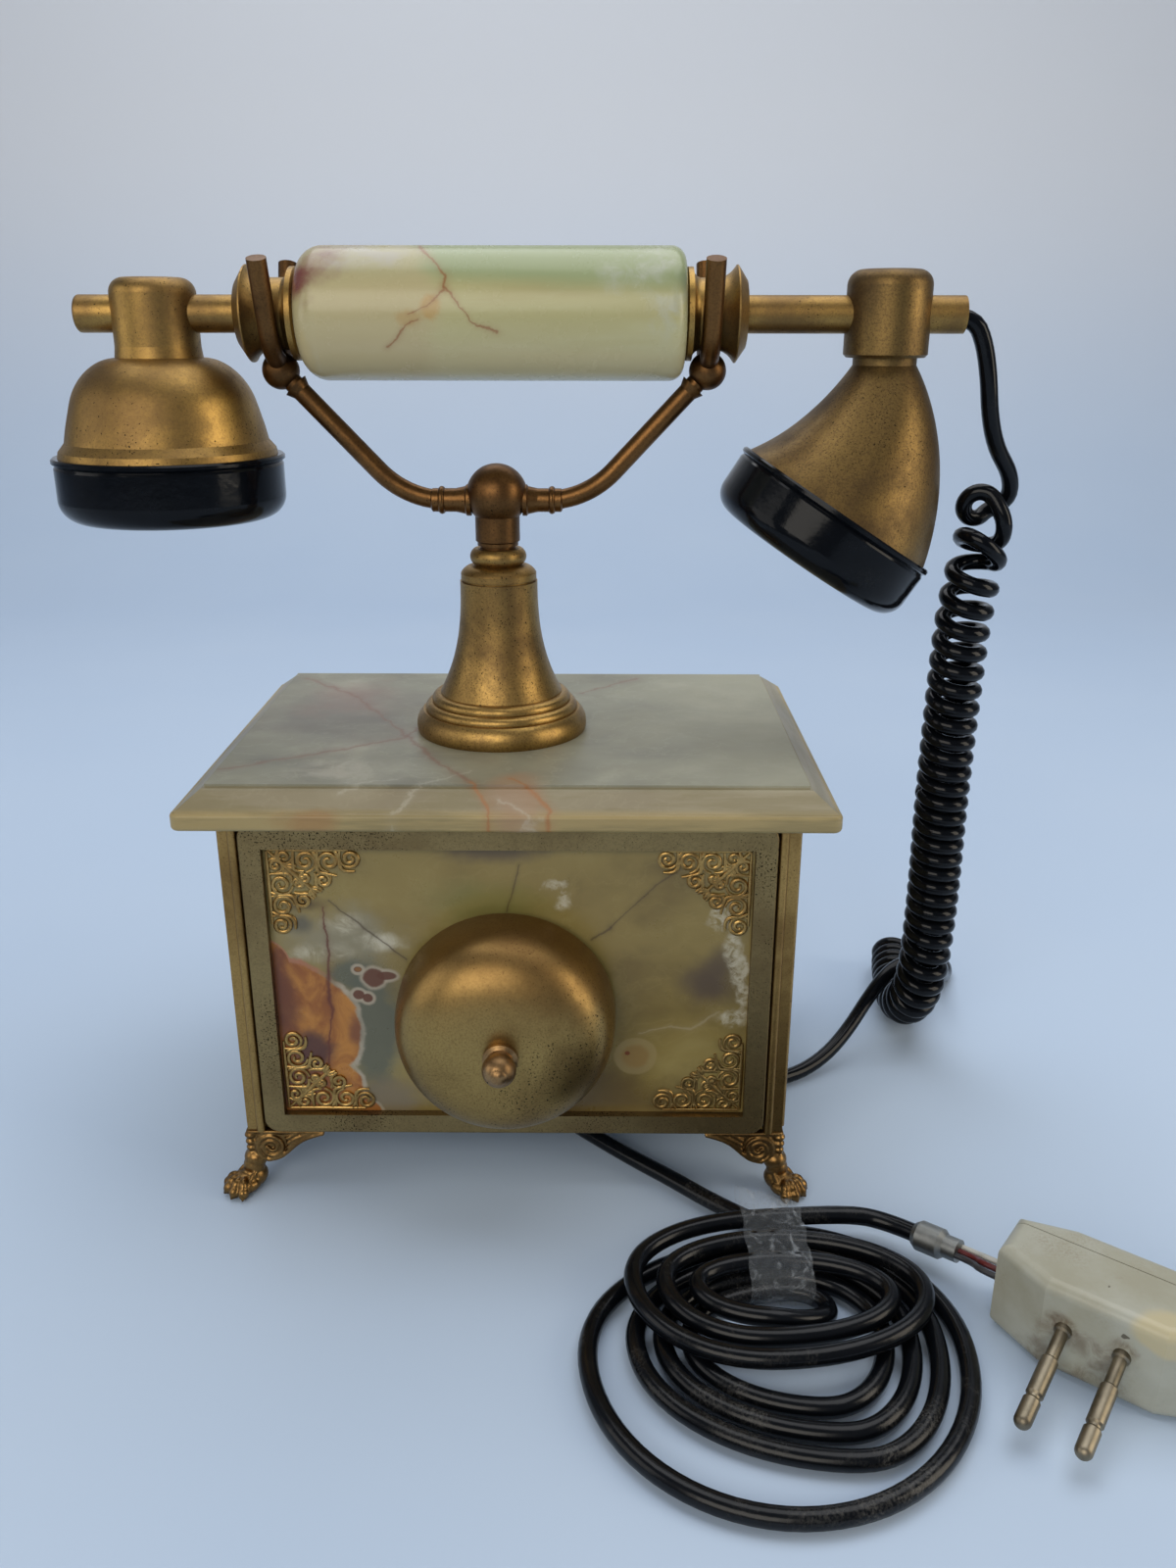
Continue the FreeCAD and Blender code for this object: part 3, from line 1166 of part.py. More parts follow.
def arc_edge(start, heading, end):
    """Arc that leaves the start along a heading and reaches the end."""
    chord = end - start
    length = chord.Length
    unit = chord * (1 / length)
    side = heading - unit * heading.dot(unit)
    if side.Length < 1e-7:
        return Part.LineSegment(start, end).toShape()
    half = math.acos(max(-1.0, min(1.0, heading.dot(unit))))
    middle = (start + end) * 0.5 + side.normalize() * (length / 2 * math.tan(half / 2))
    return Part.Arc(start, middle, end).toShape()


def biarc(start, heading, end, arrival):
    """Two tangent arcs of equal reach between two headed points."""
    gap = end - start
    both = heading + arrival
    a = both.dot(both) - 4
    b = -2 * gap.dot(both)
    c = gap.dot(gap)
    reach = (-b - math.sqrt(b * b - 4 * a * c)) / (2 * a) if abs(a) > 1e-9 else -c / b
    knee = start + heading * reach
    elbow = end - arrival * reach
    join = (knee + elbow) * 0.5
    return [arc_edge(start, heading, join), arc_edge(join, (elbow - knee).normalize(), end)]


def biarc_wire(curve, stations):
    """Tangent arcs through the stations of a curve given as a function."""
    small = 1e-4
    points = [curve(t) for t in stations]
    headings = [(curve(t + small) - curve(t - small)).normalize() for t in stations]
    edges = []
    for k in range(len(stations) - 1):
        edges += biarc(points[k], headings[k], points[k + 1], headings[k + 1])
    return Part.Wire(edges)


def cord_wire(points, name):
    """Straight runs joined by the largest tangent arcs that they allow."""
    edges = []
    radii = []
    at = points[0]
    for before, corner, after in zip(points, points[1:], points[2:]):
        into = (corner - before).normalize()
        out = (after - corner).normalize()
        lead = 0.45 * min((corner - before).Length, (after - corner).Length)
        half = math.acos(max(-1.0, min(1.0, into.dot(out)))) / 2
        radii.append(lead / math.tan(half))
        start = corner - into * lead
        edges.append(Part.LineSegment(at, start).toShape())
        edges.append(arc_edge(start, into, corner + out * lead))
        at = corner + out * lead
    edges.append(Part.LineSegment(at, points[-1]).toShape())
    print(name, "radii", [round(r, 1) for r in radii])
    return Part.Wire(edges)


def cord(points, diameter, name):
    wire = cord_wire(points, name)
    solid = pipe(diameter, wire)
    expected = math.pi * diameter ** 2 / 4 * wire.Length
    print(name, "length", round(wire.Length, 1), "volume", round(solid.Volume / expected, 4))
    return solid


def least_gap(wire, diameter, name):
    """Smallest gap between stretches of a wound tube, measured on points."""
    step = diameter / 4
    points = wire.discretize(Distance=step)
    skip = int(math.pi * diameter / step)
    cell = 2 * diameter
    grid = {}
    for k, p in enumerate(points):
        grid.setdefault((int(p.x // cell), int(p.y // cell), int(p.z // cell)), []).append(k)
    least = cell
    for (i, j, m), members in grid.items():
        near = []
        for di in (-1, 0, 1):
            for dj in (-1, 0, 1):
                for dm in (-1, 0, 1):
                    near += grid.get((i + di, j + dj, m + dm), [])
        for k in members:
            for n in near:
                if n - k > skip:
                    least = min(least, points[k].distanceToPoint(points[n]))
    print(name, "length", round(wire.Length, 1), "least gap", round(least - diameter, 2))


# The curls hang from the top, bend on the table and lie behind; pitch at shares of the way
CURL_AXIS = (V(138.6, 3, 196), V(137.2, 8, 150), V(135, 12.5, 100), V(133.4, 15, 58), V(133, 17.5, 26.5),
             V(134, 36, 8.8), V(137, 60, 8.8), V(142.5, 84, 8.8))
CURL_PITCH = ((0.0, 46.0), (0.05, 7.6), (0.14, 6.2), (0.32, 5.3), (0.52, 4.9), (0.6, 6.2), (0.82, 6.2),
              (0.88, 5.1), (0.95, 5.1), (1.0, 40.0))
CURLS = 39
CURL_START = 0.75     # of a turn, so that the cord comes to the front at the top and leaves along the table
TAIL_ROUTE = (V(-4.5, 0, 0), V(4, 0.1, -0.4), V(8.1, 0.4, -9), V(8.8, 0.8, -22))     # from the tube's end
LEAD_ROUTE = (V(157, 88.3, 2.4), V(161.6, 83.8, 2.4), V(162.5, 77.4, 2.4), V(159.5, 69.5, 2.8),
              V(155, 60.5, 7.5), V(149.5, 51.5, 15.5), V(143, 43, 23.5), V(135.5, 36.5, 27.5),
              V(127.5, 31.8, 25.3), V(120, 26, 18), V(112.5, 18, 10.8), V(104, 9.8, 5.4),
              V(94, 2.5, 2.6), V(82.5, -3.8, 3), V(73, -8, 6.2))


def axis_samples(points, step):
    """Points at equal steps along the line that the curls wind round, and its length."""
    wire = cord_wire(points, "curl axis")
    count = int(wire.Length / step)
    samples = wire.discretize(Number=count + 1)
    return samples, wire.Length


def make_handset_cord():
    samples, length = axis_samples(CURL_AXIS, 0.5)
    step = length / (len(samples) - 1)
    radius = (CURL_D - HANDSET_CORD_D) / 2
    turns = [0.0]
    for k in range(len(samples) - 1):
        share = (k + 0.5) / (len(samples) - 1)
        for (a, pa), (b, pb) in zip(CURL_PITCH, CURL_PITCH[1:]):
            if a <= share <= b:
                pitch = pa + (pb - pa) * (share - a) / (b - a)
        turns.append(turns[-1] + step / pitch)
    turns = [turn * CURLS / turns[-1] for turn in turns]

    def curl(turn):
        low = 0
        high = len(turns) - 1
        while high - low > 1:
            middle = (low + high) // 2
            if turns[middle] <= turn:
                low = middle
            else:
                high = middle
        part = (turn - turns[low]) / (turns[high] - turns[low])
        centre = samples[low] + (samples[high] - samples[low]) * part
        a = max(low - 4, 0)
        b = min(high + 4, len(samples) - 1)
        heading = (samples[b] - samples[a]).normalize()
        right = (ALONG - heading * heading.dot(ALONG)).normalize()
        forward = right.cross(heading)
        angle = 2 * math.pi * (turn + CURL_START)
        return centre + right * (radius * math.cos(angle)) + forward * (radius * math.sin(angle))

    stations = [k / 4 for k in range(4 * CURLS + 1)]
    wire = biarc_wire(curl, stations)
    small = 1e-4
    first = curl(stations[0])
    last = curl(stations[-1])
    out = (curl(stations[0] + small) - curl(stations[0] - small)).normalize()
    away = (curl(stations[-1] + small) - curl(stations[-1] - small)).normalize()
    top = first - out * HANDSET_CORD_D
    end = last + away * HANDSET_CORD_D
    wire = Part.Wire([Part.LineSegment(top, first).toShape()] + wire.OrderedEdges
                     + [Part.LineSegment(last, end).toShape()])
    least_gap(wire, HANDSET_CORD_D, "curls")
    print("curls", CURLS, "top", top, out, "end", end, away)
    solid = pipe(HANDSET_CORD_D, wire)
    print("curls volume", round(solid.Volume / (math.pi * HANDSET_CORD_D ** 2 / 4 * wire.Length), 4))
    save("handset_cord_curls", solid)

    tube_end = axis + ALONG * TUBE_RIGHT
    tail = [tube_end + p for p in TAIL_ROUTE]
    tail += [top - out * 9, top]
    save("handset_cord_tail", cord(tail, HANDSET_CORD_D, "tail"))
    gland = V(handset_grommet.x, handset_grommet.y, plate_z + GROMMET_LIP)
    lead = [end, end + away * 5] + list(LEAD_ROUTE)
    lead += [gland - V(0, 0, 9), gland]
    save("handset_cord_lead", cord(lead, HANDSET_CORD_D, "lead"))


# The line cord's coil lies as it was taped: four turns in on the table, one that climbs, two out on top
COIL_TIE_X = 74.0
COIL_TIE_Y = (-79.0, -84.8, -90.6, -96.4, -102.2, -97.0, -88.5, -80.0)
COIL_RIGHT = (116.5, 109.5, 103, 96.5, 84, 100, 109)
COIL_FAR = (-171, -156, -148.5, -141, -118, -125, -132)
COIL_FAR_X = (70, 80, 79, 78, 70, 71, 72)
COIL_LEFT = (21, 33, 40, 47, 50, 41.5, 33)
COIL_LOW = 3.1
COIL_CLIMB = 4        # the turn in which the coil climbs to its upper layer
COIL_MIDDLE = 0.45    # where a turn is widest, between its tie and its far side
COIL_EXIT = V(94, -78.6, 0)
COIL_EXIT_HEADING = V(0.97, 0.24, 0)
LINE_ROUTE = (V(8, -18, 8), V(14, -26, 3.4), V(24.5, -36, 3.1), V(35.5, -46.5, 3.1), V(46.5, -56, 3.1))
LINE_JOIN = V(57.5, -66.5, 3.1)
FERRULE_AT = V(111.5, -85, 7.6)
FERRULE_HEADING = V(0.73, -0.67, 0.1)
PLUG_AT = V(128.5, -105.5, 0)
PLUG_ALONG = V(0.8, -0.6, 0)
PLUG_OUT = V(-0.6, -0.8, 0)
PIN_HEADING = V(-0.58, -0.78, -0.24)
PIN_HEIGHT = 15.0


def coil_corners():
    """Headed points at the four sides of each turn, seen from above going clockwise."""
    corners = []
    high = COIL_LOW + LAYER
    turns = len(COIL_FAR)
    for k in range(turns):
        upper = k > COIL_CLIMB
        z = high if upper else COIL_LOW
        far_z = high if k >= COIL_CLIMB else COIL_LOW
        wide = COIL_TIE_Y[k] + (COIL_FAR[k] - COIL_TIE_Y[k]) * COIL_MIDDLE
        back = COIL_TIE_Y[k + 1] + (COIL_FAR[k] - COIL_TIE_Y[k + 1]) * COIL_MIDDLE
        corners.append((V(COIL_TIE_X, COIL_TIE_Y[k], z), ALONG))
        corners.append((V(COIL_RIGHT[k], wide, z), BACK * -1))
        corners.append((V(COIL_FAR_X[k], COIL_FAR[k], far_z), ALONG * -1))
        corners.append((V(COIL_LEFT[k], back, far_z), BACK))
    corners.append((V(COIL_TIE_X, COIL_TIE_Y[-1], high), ALONG))
    corners.append((COIL_EXIT + UP * high, V(COIL_EXIT_HEADING).normalize()))
    return corners


def make_line_cord():
    corners = coil_corners()
    entry = (LINE_JOIN - LINE_ROUTE[-1]).normalize()
    corners.insert(0, (LINE_JOIN + entry * LINE_CORD_D, entry))
    toward = V(FERRULE_HEADING).normalize()
    corners.append((FERRULE_AT - toward * LINE_CORD_D, toward))
    edges = [Part.LineSegment(LINE_JOIN, corners[0][0]).toShape()]
    for (start, heading), (end, arrival) in zip(corners, corners[1:]):
        edges += biarc(start, heading, end, arrival)
    edges.append(Part.LineSegment(corners[-1][0], FERRULE_AT).toShape())
    wire = Part.Wire(edges)
    least_gap(wire, LINE_CORD_D, "line coil")
    solid = pipe(LINE_CORD_D, wire)
    print("line coil volume", round(solid.Volume / (math.pi * LINE_CORD_D ** 2 / 4 * wire.Length), 4))
    save("line_cord_coil", solid)
    gland = V(LINE_GROMMET.x, LINE_GROMMET.y, plate_z + GROMMET_LIP)
    route = [gland, gland - V(0, 0, 9)] + list(LINE_ROUTE) + [LINE_JOIN]
    save("line_cord_lead", cord(route, LINE_CORD_D, "line lead"))
    save("cord_tape", cord_tape())
    make_plug(toward)


def cord_tape():
    """Clear band round the tied strands."""
    low = 0.05
    high = COIL_LOW + LAYER + LINE_CORD_D / 2 + 2 * TAPE_THICK
    front = min(COIL_TIE_Y) - LINE_CORD_D / 2 - 6
    rear = max(COIL_TIE_Y) + LINE_CORD_D / 2 + 10
    x = COIL_TIE_X - TAPE_WIDTH * 0.6
    band = block(x, x + TAPE_WIDTH, front, rear, low, high)
    corners = [e for e in band.Edges if e.BoundBox.XLength > TAPE_WIDTH - 0.1]
    band = band.makeFillet(2.0, corners)
    hole = block(x - 1, x + TAPE_WIDTH + 1, front + TAPE_THICK, rear - TAPE_THICK,
                 low + TAPE_THICK, high - TAPE_THICK)
    corners = [e for e in hole.Edges if e.BoundBox.XLength > TAPE_WIDTH]
    return band.cut(hole.makeFillet(2.0 - TAPE_THICK, corners))


def make_plug(toward):
    """Crimped ferrule, three thin wires and a two-part plug with two pins, lying on the table."""
    end = FERRULE_AT + toward * FERRULE_LENGTH
    wide = FERRULE_D / 2
    crimp = wide - 1.0
    sleeve = lathe([(0, 0), (LINE_CORD_D / 2 + 0.6, 0), (wide, 1.5), (wide, FERRULE_LENGTH * 0.6),
                    (crimp, FERRULE_LENGTH * 0.7), (crimp, FERRULE_LENGTH), (0, FERRULE_LENGTH)],
                   FERRULE_AT, toward)
    save("cord_ferrule", sleeve)
    entry = PLUG_AT + V(0, 0, PLUG_HEIGHT / 2)
    wires = []
    across = V(toward.y, -toward.x, 0)
    for k in (-1, 0, 1):
        start = end + across * (k * (WIRE_D + 0.3))
        stop = entry + PLUG_OUT * (k * (WIRE_D + 1.0))
        wires.append(cord([start, start + toward * 5, stop - PLUG_ALONG * 5, stop], WIRE_D, "wire"))
    save("plug_wires", *wires)

    def plan(e1, e2, z=0.0):
        return PLUG_AT + PLUG_ALONG * e1 + PLUG_OUT * e2 + V(0, 0, z)

    slope = PLUG_LENGTH * 0.25
    sides = [(0, -PLUG_ENTRY), (0, PLUG_ENTRY * 0.6), (slope, PLUG_FRONT), (PLUG_LENGTH - slope, PLUG_FRONT),
             (PLUG_LENGTH, PLUG_ENTRY * 0.6), (PLUG_LENGTH, -PLUG_ENTRY), (PLUG_LENGTH - slope, -PLUG_BACK),
             (slope, -PLUG_BACK)]
    corners = [plan(a, b) for a, b in sides]
    body = Part.Face(Part.makePolygon(corners + corners[:1])).extrude(V(0, 0, PLUG_HEIGHT))
    body = body.makeFillet(3.0, [e for e in body.Edges if e.BoundBox.ZLength < 0.01])
    pins = []
    for at in PIN_AT:
        root = plan(at, PLUG_FRONT - PIN_ROOT, PIN_HEIGHT)
        pins.append(plug_pin(root))
        body = body.cut(rod(PIN_D + 2 * SEAT, root, root + PIN_HEADING * (2 * PIN_ROOT)))
    seam = plan(-1, -PLUG_BACK * 0.45)
    knife = Part.makeBox(PLUG_LENGTH + 4, PLUG_SEAM, 2 * PLUG_HEIGHT, V(0, 0, -PLUG_HEIGHT / 2))
    knife = moved(knife, FreeCAD.Placement(seam, FreeCAD.Rotation(ALONG, PLUG_ALONG)))
    save("plug_body", *body.cut(knife).Solids)
    save("plug_pins", *pins)


def plug_pin(root):
    """Stepped contact pin with a groove and a bullet tip."""
    full = PIN_D / 2
    neck = full - 0.5
    far = PIN_ROOT + PIN_LENGTH
    return lathe([(0, 0), (full, 0), (full, PIN_ROOT + 1), (neck, PIN_ROOT + 1.4), (neck, PIN_ROOT + 9),
                  (full, PIN_ROOT + 9.6), (full, far - 9.4), (neck + 0.1, far - 8.8), (neck + 0.1, far - 8.2),
                  (full, far - 7.6), (full, far - full), crown(full, far - full, far)], root, PIN_HEADING)


os.makedirs("parts", exist_ok=True)
make_box()
make_slab()
make_plates()
save("paw_feet", *four_corners(paw_foot()))
make_pedestal()
make_bell()
make_ringer()
make_dial()
make_electrics()
make_handset()
make_handset_cord()
make_line_cord()
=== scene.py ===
import json
import math

import bmesh
import bpy
from mathutils import Matrix, Vector


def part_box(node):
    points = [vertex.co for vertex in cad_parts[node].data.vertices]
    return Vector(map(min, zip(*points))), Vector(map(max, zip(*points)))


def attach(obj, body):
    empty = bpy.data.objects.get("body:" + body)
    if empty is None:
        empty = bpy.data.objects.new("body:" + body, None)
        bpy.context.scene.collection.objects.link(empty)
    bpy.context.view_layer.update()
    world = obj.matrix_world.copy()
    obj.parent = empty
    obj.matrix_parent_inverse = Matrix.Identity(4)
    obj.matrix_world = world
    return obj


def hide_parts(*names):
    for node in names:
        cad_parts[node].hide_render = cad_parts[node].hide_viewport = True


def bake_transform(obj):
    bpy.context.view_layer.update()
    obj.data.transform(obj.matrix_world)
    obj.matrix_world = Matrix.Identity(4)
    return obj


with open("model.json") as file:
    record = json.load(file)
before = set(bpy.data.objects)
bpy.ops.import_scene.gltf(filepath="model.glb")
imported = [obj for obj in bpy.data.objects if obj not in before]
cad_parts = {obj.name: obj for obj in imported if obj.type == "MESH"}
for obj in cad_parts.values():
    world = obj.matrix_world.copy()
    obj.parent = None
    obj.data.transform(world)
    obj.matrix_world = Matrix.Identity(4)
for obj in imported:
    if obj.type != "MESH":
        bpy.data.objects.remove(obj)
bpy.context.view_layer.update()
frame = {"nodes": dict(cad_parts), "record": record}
nodes = frame["nodes"]
slot_of = {part["node"]: part["material_slot"] for part in frame["record"]["subparts"]}

MM = 0.001
UP = Vector((0, 0, 1))


def mm(x, y, z):
    """A point given in millimetres."""
    return Vector((x, y, z)) * MM


def route(*points):
    """Points of a cord's route, given in millimetres."""
    return [mm(*point) for point in points]


def linked(name, data):
    """A new object in the scene."""
    obj = bpy.data.objects.new(name, data)
    bpy.context.scene.collection.objects.link(obj)
    return obj


# Camera

IMAGE_LONG = 1600
FOCAL_PIXELS = 1295.4
SENSOR = 36.0
NEAREST_SEEN = 10 * MM
EYE = mm(23.49, -370.62, 242.25)
EYE_DOWN = 19.987
EYE_TURN = 0.372
EYE_ROLL = 0.065


def make_camera():
    data = bpy.data.cameras.new("camera")
    data.sensor_width = SENSOR
    data.lens = FOCAL_PIXELS * SENSOR / IMAGE_LONG
    data.clip_start = NEAREST_SEEN
    camera = linked("camera", data)
    turn = Matrix.Rotation(math.radians(EYE_TURN), 4, "Z")
    tilt = Matrix.Rotation(math.radians(90 - EYE_DOWN), 4, "X")
    roll = Matrix.Rotation(math.radians(EYE_ROLL), 4, "Z")
    camera.matrix_world = Matrix.Translation(EYE) @ turn @ tilt @ roll
    bpy.context.scene.camera = camera


# Meshes

def mesh_object(name, vertices, faces, material, sharp=None):
    """A smooth object; edges over the sharp angle in degrees stay crisp."""
    mesh = bpy.data.meshes.new(name)
    mesh.from_pydata(vertices, [], faces)
    mesh.validate()
    mesh.shade_smooth()
    if sharp is not None:
        mesh.set_sharp_from_angle(angle=math.radians(sharp))
    mesh.materials.append(material)
    return linked(name, mesh)


def placed(obj, body, slot, *stands_for):
    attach(obj, body)
    if stands_for:
        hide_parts(*stands_for)
    return obj


def headings(path):
    ends = [path[0]] + list(path) + [path[-1]]
    return [(after - before).normalized() for before, after in zip(ends, ends[2:])]


def tube(path, radii, sides, flat=None):
    """Closed tube along a path; flat is a direction and the share of the radius kept along it."""
    if not hasattr(radii, "__len__"):
        radii = [radii] * len(path)
    along = headings(path)
    side = along[0].orthogonal().normalized()
    vertices = []
    for point, ahead, radius in zip(path, along, radii):
        side = (side - ahead * side.dot(ahead)).normalized()
        other = ahead.cross(side)
        for k in range(sides):
            angle = 2 * math.pi * k / sides
            offset = side * math.cos(angle) + other * math.sin(angle)
            if flat is not None:
                offset -= flat[0] * offset.dot(flat[0]) * (1 - flat[1])
            vertices.append(point + offset * radius)
    faces = []
    for ring in range(len(path) - 1):
        a = ring * sides
        for k in range(sides):
            n = (k + 1) % sides
            faces.append((a + k, a + n, a + sides + n, a + sides + k))
    faces.append(tuple(range(sides - 1, -1, -1)))
    last = (len(path) - 1) * sides
    faces.append(tuple(range(last, last + sides)))
    return vertices, faces


def merged(shapes):
    vertices = []
    faces = []
    for more, sides in shapes:
        base = len(vertices)
        vertices += more
        faces += [tuple(i + base for i in face) for face in sides]
    return vertices, faces


def points_and_faces(mesh):
    """What a mesh holds; the mesh is removed."""
    vertices = [v.co.copy() for v in mesh.vertices]
    faces = [tuple(f.vertices) for f in mesh.polygons]
    bpy.data.meshes.remove(mesh)
    return vertices, faces


def curve_shape(curve):
    """Points and faces of a curve or a text, which is removed."""
    obj = bpy.data.objects.new("shape", curve)
    shape = points_and_faces(bpy.data.meshes.new_from_object(obj))
    bpy.data.objects.remove(obj)
    bpy.data.curves.remove(curve)
    return shape


def spline_curve(name, points, resolution):
    """A smooth line with these control points."""
    curve = bpy.data.curves.new(name, "CURVE")
    curve.dimensions = "3D"
    spline = curve.splines.new("NURBS")
    spline.points.add(len(points) - 1)
    for knot, point in zip(spline.points, points):
        knot.co = (*point, 1)
    spline.order_u = 3
    spline.use_endpoint_u = True
    spline.resolution_u = resolution
    return curve


def spline_line(points, resolution):
    """Points read from the smooth line with these control points."""
    return curve_shape(spline_curve("line", points, resolution))[0]


def length_of(line):
    return sum((b - a).length for a, b in zip(line, line[1:]))


# Handset cord

HANDSET_CORD_D = 4.8 * MM
CORD_SIDES = 12
CORD_RESOLUTION = 4
GLAND_BORE = 4.2 * MM
GLAND_RINGS = 8
CURL_RADIUS = 6.1 * MM
CURL_KNOTS = 12
CURLS = 37 + 8 / CURL_KNOTS
CURL_START = 1 / CURL_KNOTS
CURL_STEP = 0.5 * MM
CURL_LOOK_ROUND = 4
CURL_AXIS_RESOLUTION = 24
CURL_AXIS = route((135, 3.3, 175.7), (134.3, 4, 169), (133.8, 5.2, 161), (133.7, 7, 150), (134.6, 12.5, 100),
                  (136, 15, 58), (135.5, 17.5, 26.5), (135, 36, 8.8), (137, 60, 8.8), (142.5, 84, 8.8))
CURL_PITCH = ((0.0, 8.2), (0.04, 7.6), (0.1, 6.8), (0.16, 6.2), (0.32, 5.3), (0.52, 4.9), (0.6, 6.2),
              (0.82, 6.2), (0.88, 5.1), (0.95, 5.1), (1.0, 40.0))
RING_CENTRE = mm(134.5, 10, 192.3)
RING_RADIUS = 4.2 * MM
RING_FORWARD = 9 * MM
SECOND_TURN = route((141, -0.2, 189), (141.6, 1, 183.8), (140.8, 5, 180.9), (138, 8.8, 180.2),
                    (133.6, 8.8, 181), (130.4, 5.8, 182.8), (129.7, 1.6, 184.4), (131.3, -2, 184.4),
                    (134.6, -3.7, 182.6), (138.2, -3, 179.9), (140.8, -0.4, 177.4), (141.2, 3, 175.6))
CURL_END = mm(146.013, 86.302, 2.7)
CURL_END_HEADING = Vector((0.836, 0.548, 0))
CURL_END_RUN = 5 * MM
TUBE_END = mm(122.5, -4.6, 244.3)
TAIL_ROUTE = route((-4.5, 0, 0), (2.6, 0.1, -0.6), (6.2, 0.2, -6.6), (8.6, 0.5, -16.2), (10.4, 2.4, -26),
                   (14, 5.4, -35.4), (20.4, 9.4, -43.2), (22, 13, -50.6))
LEAD_ROUTE = route((157, 88.3, 2.4), (161.6, 83.8, 2.4), (162.5, 77.4, 2.4), (159.5, 69.5, 2.8),
                   (155, 60.5, 7.5), (149.5, 51.5, 15.5), (143, 43, 23.5), (135.5, 36.5, 27.5),
                   (127.5, 31.8, 25.3), (120, 26, 18), (112.5, 18, 10.8), (104, 9.8, 5.4), (94, 2.5, 2.6),
                   (82.5, -3.8, 3), (73, -8, 6.2), (66, -10, 14.1), (66, -10, 23.1))
CORD_SPLIT_Z = 100 * MM


def curl_pitch(share):
    """Relative pitch of the curls at a share of their axis."""
    for (a, pitch_a), (b, pitch_b) in zip(CURL_PITCH, CURL_PITCH[1:]):
        if a <= share <= b:
            pitch = pitch_a + (pitch_b - pitch_a) * (share - a) / (b - a)
    return pitch


def curl_points():
    """Control points of the curls, round a line through their axis."""
    line = spline_line(CURL_AXIS, CURL_AXIS_RESOLUTION)
    samples = [line[0]]
    for point in line[1:]:
        start = samples[-1]
        gap = (point - start).length
        samples += [start.lerp(point, (k + 1) * CURL_STEP / gap) for k in range(int(gap / CURL_STEP))]
    last = len(samples) - 1
    turns = [0.0]
    for k in range(last):
        turns.append(turns[-1] + 1 / curl_pitch((k + 0.5) / last))
    turns = [turn * CURLS / turns[-1] for turn in turns]
    # The spline runs inside its control points, so these lie on a wider circle.
    radius = CURL_RADIUS / (0.75 + 0.25 * math.cos(2 * math.pi / CURL_KNOTS))
    points = []
    low = 0
    for knot in range(round(CURL_KNOTS * CURLS) + 1):
        turn = knot / CURL_KNOTS
        while low < last - 1 and turns[low + 1] <= turn:
            low += 1
        part = (turn - turns[low]) / (turns[low + 1] - turns[low])
        centre = samples[low].lerp(samples[low + 1], part)
        before = samples[max(low - CURL_LOOK_ROUND, 0)]
        after = samples[min(low + 1 + CURL_LOOK_ROUND, last)]
        ahead = (after - before).normalized()
        right = (Vector((1, 0, 0)) - ahead * ahead.x).normalized()
        forward = right.cross(ahead)
        angle = 2 * math.pi * (turn + CURL_START)
        points.append(centre + right * (radius * math.cos(angle)) + forward * (radius * math.sin(angle)))
    return points


def handset_cord_line():
    """From the handset's tube: the tail, a small ring, a wide turn, the curls and the lead into the box."""
    tail = [TUBE_END + point for point in TAIL_ROUTE]
    for knot in range(1, CURL_KNOTS):
        angle = 2 * math.pi * knot / CURL_KNOTS
        forward = RING_FORWARD * knot / CURL_KNOTS
        ring = Vector((RING_RADIUS * math.cos(angle), -forward, -RING_RADIUS * math.sin(angle)))
        tail.append(RING_CENTRE + ring)
    lead = [CURL_END, CURL_END + CURL_END_HEADING * CURL_END_RUN] + LEAD_ROUTE
    return spline_line(tail + SECOND_TURN + curl_points() + lead, CORD_RESOLUTION)


def make_handset_cord(sheath):
    """The cord in two halves that meet half way down: the upper half hangs from the handset, the lower half
    lies on the table.
    """
    line = handset_cord_line()
    split = next(k for k, p in enumerate(line) if p.z < CORD_SPLIT_Z)
    upper_line = line[:split + 1]
    lower_line = line[split:]
    upper = mesh_object("handset_cord_upper", *tube(upper_line, HANDSET_CORD_D / 2, CORD_SIDES), sheath)
    radii = [HANDSET_CORD_D / 2] * (len(lower_line) - GLAND_RINGS) + [GLAND_BORE / 2] * GLAND_RINGS
    lower = mesh_object("handset_cord_lower", *tube(lower_line, radii, CORD_SIDES), sheath)
    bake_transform(upper)
    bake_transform(lower)
    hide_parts("handset_cord_tail", "handset_cord_curls")
    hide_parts("handset_cord_curls", "handset_cord_lead")
    length_of(upper_line)
    length_of(lower_line)


# Line cord

LINE_CORD_D = 5 * MM
LINE_CORD_RESOLUTION = 5
LINE_CORD_ROUND = 4
LINE_ROUTE = route((6, -14, 23.1), (6, -14, 14.1), (8, -18, 8), (14, -26, 3.4), (24.5, -36, 3.1),
                   (35.5, -46.5, 3.1), (46.5, -56, 3.1), (57.5, -66.5, 3.1))
COIL_TIE_X = 74
COIL_TIE_Y = (-79, -84.8, -90.6, -96.4, -102.2, -97, -88.5, -80)
COIL_RIGHT = (116.5, 109.5, 103, 96.5, 84, 100, 109)
COIL_FAR = (-171, -156, -148.5, -141, -118, -125, -132)
COIL_FAR_X = (68, 83, 81, 78, 69, 65, 65)
COIL_LEFT = (21, 33, 40, 47, 50, 41.5, 33)
COIL_LOW = 3.1
COIL_HIGH = 8.8
COIL_CLIMB = 4
COIL_MIDDLE = 0.45
COIL_KNOTS = 4
COIL_EXIT = mm(94, -78.6, 8.8)
FERRULE_AT = mm(111.5, -85, 7.6)
FERRULE_HEADING = Vector((0.73, -0.67, 0.1)).normalized()
FERRULE_LENGTH = 13 * MM


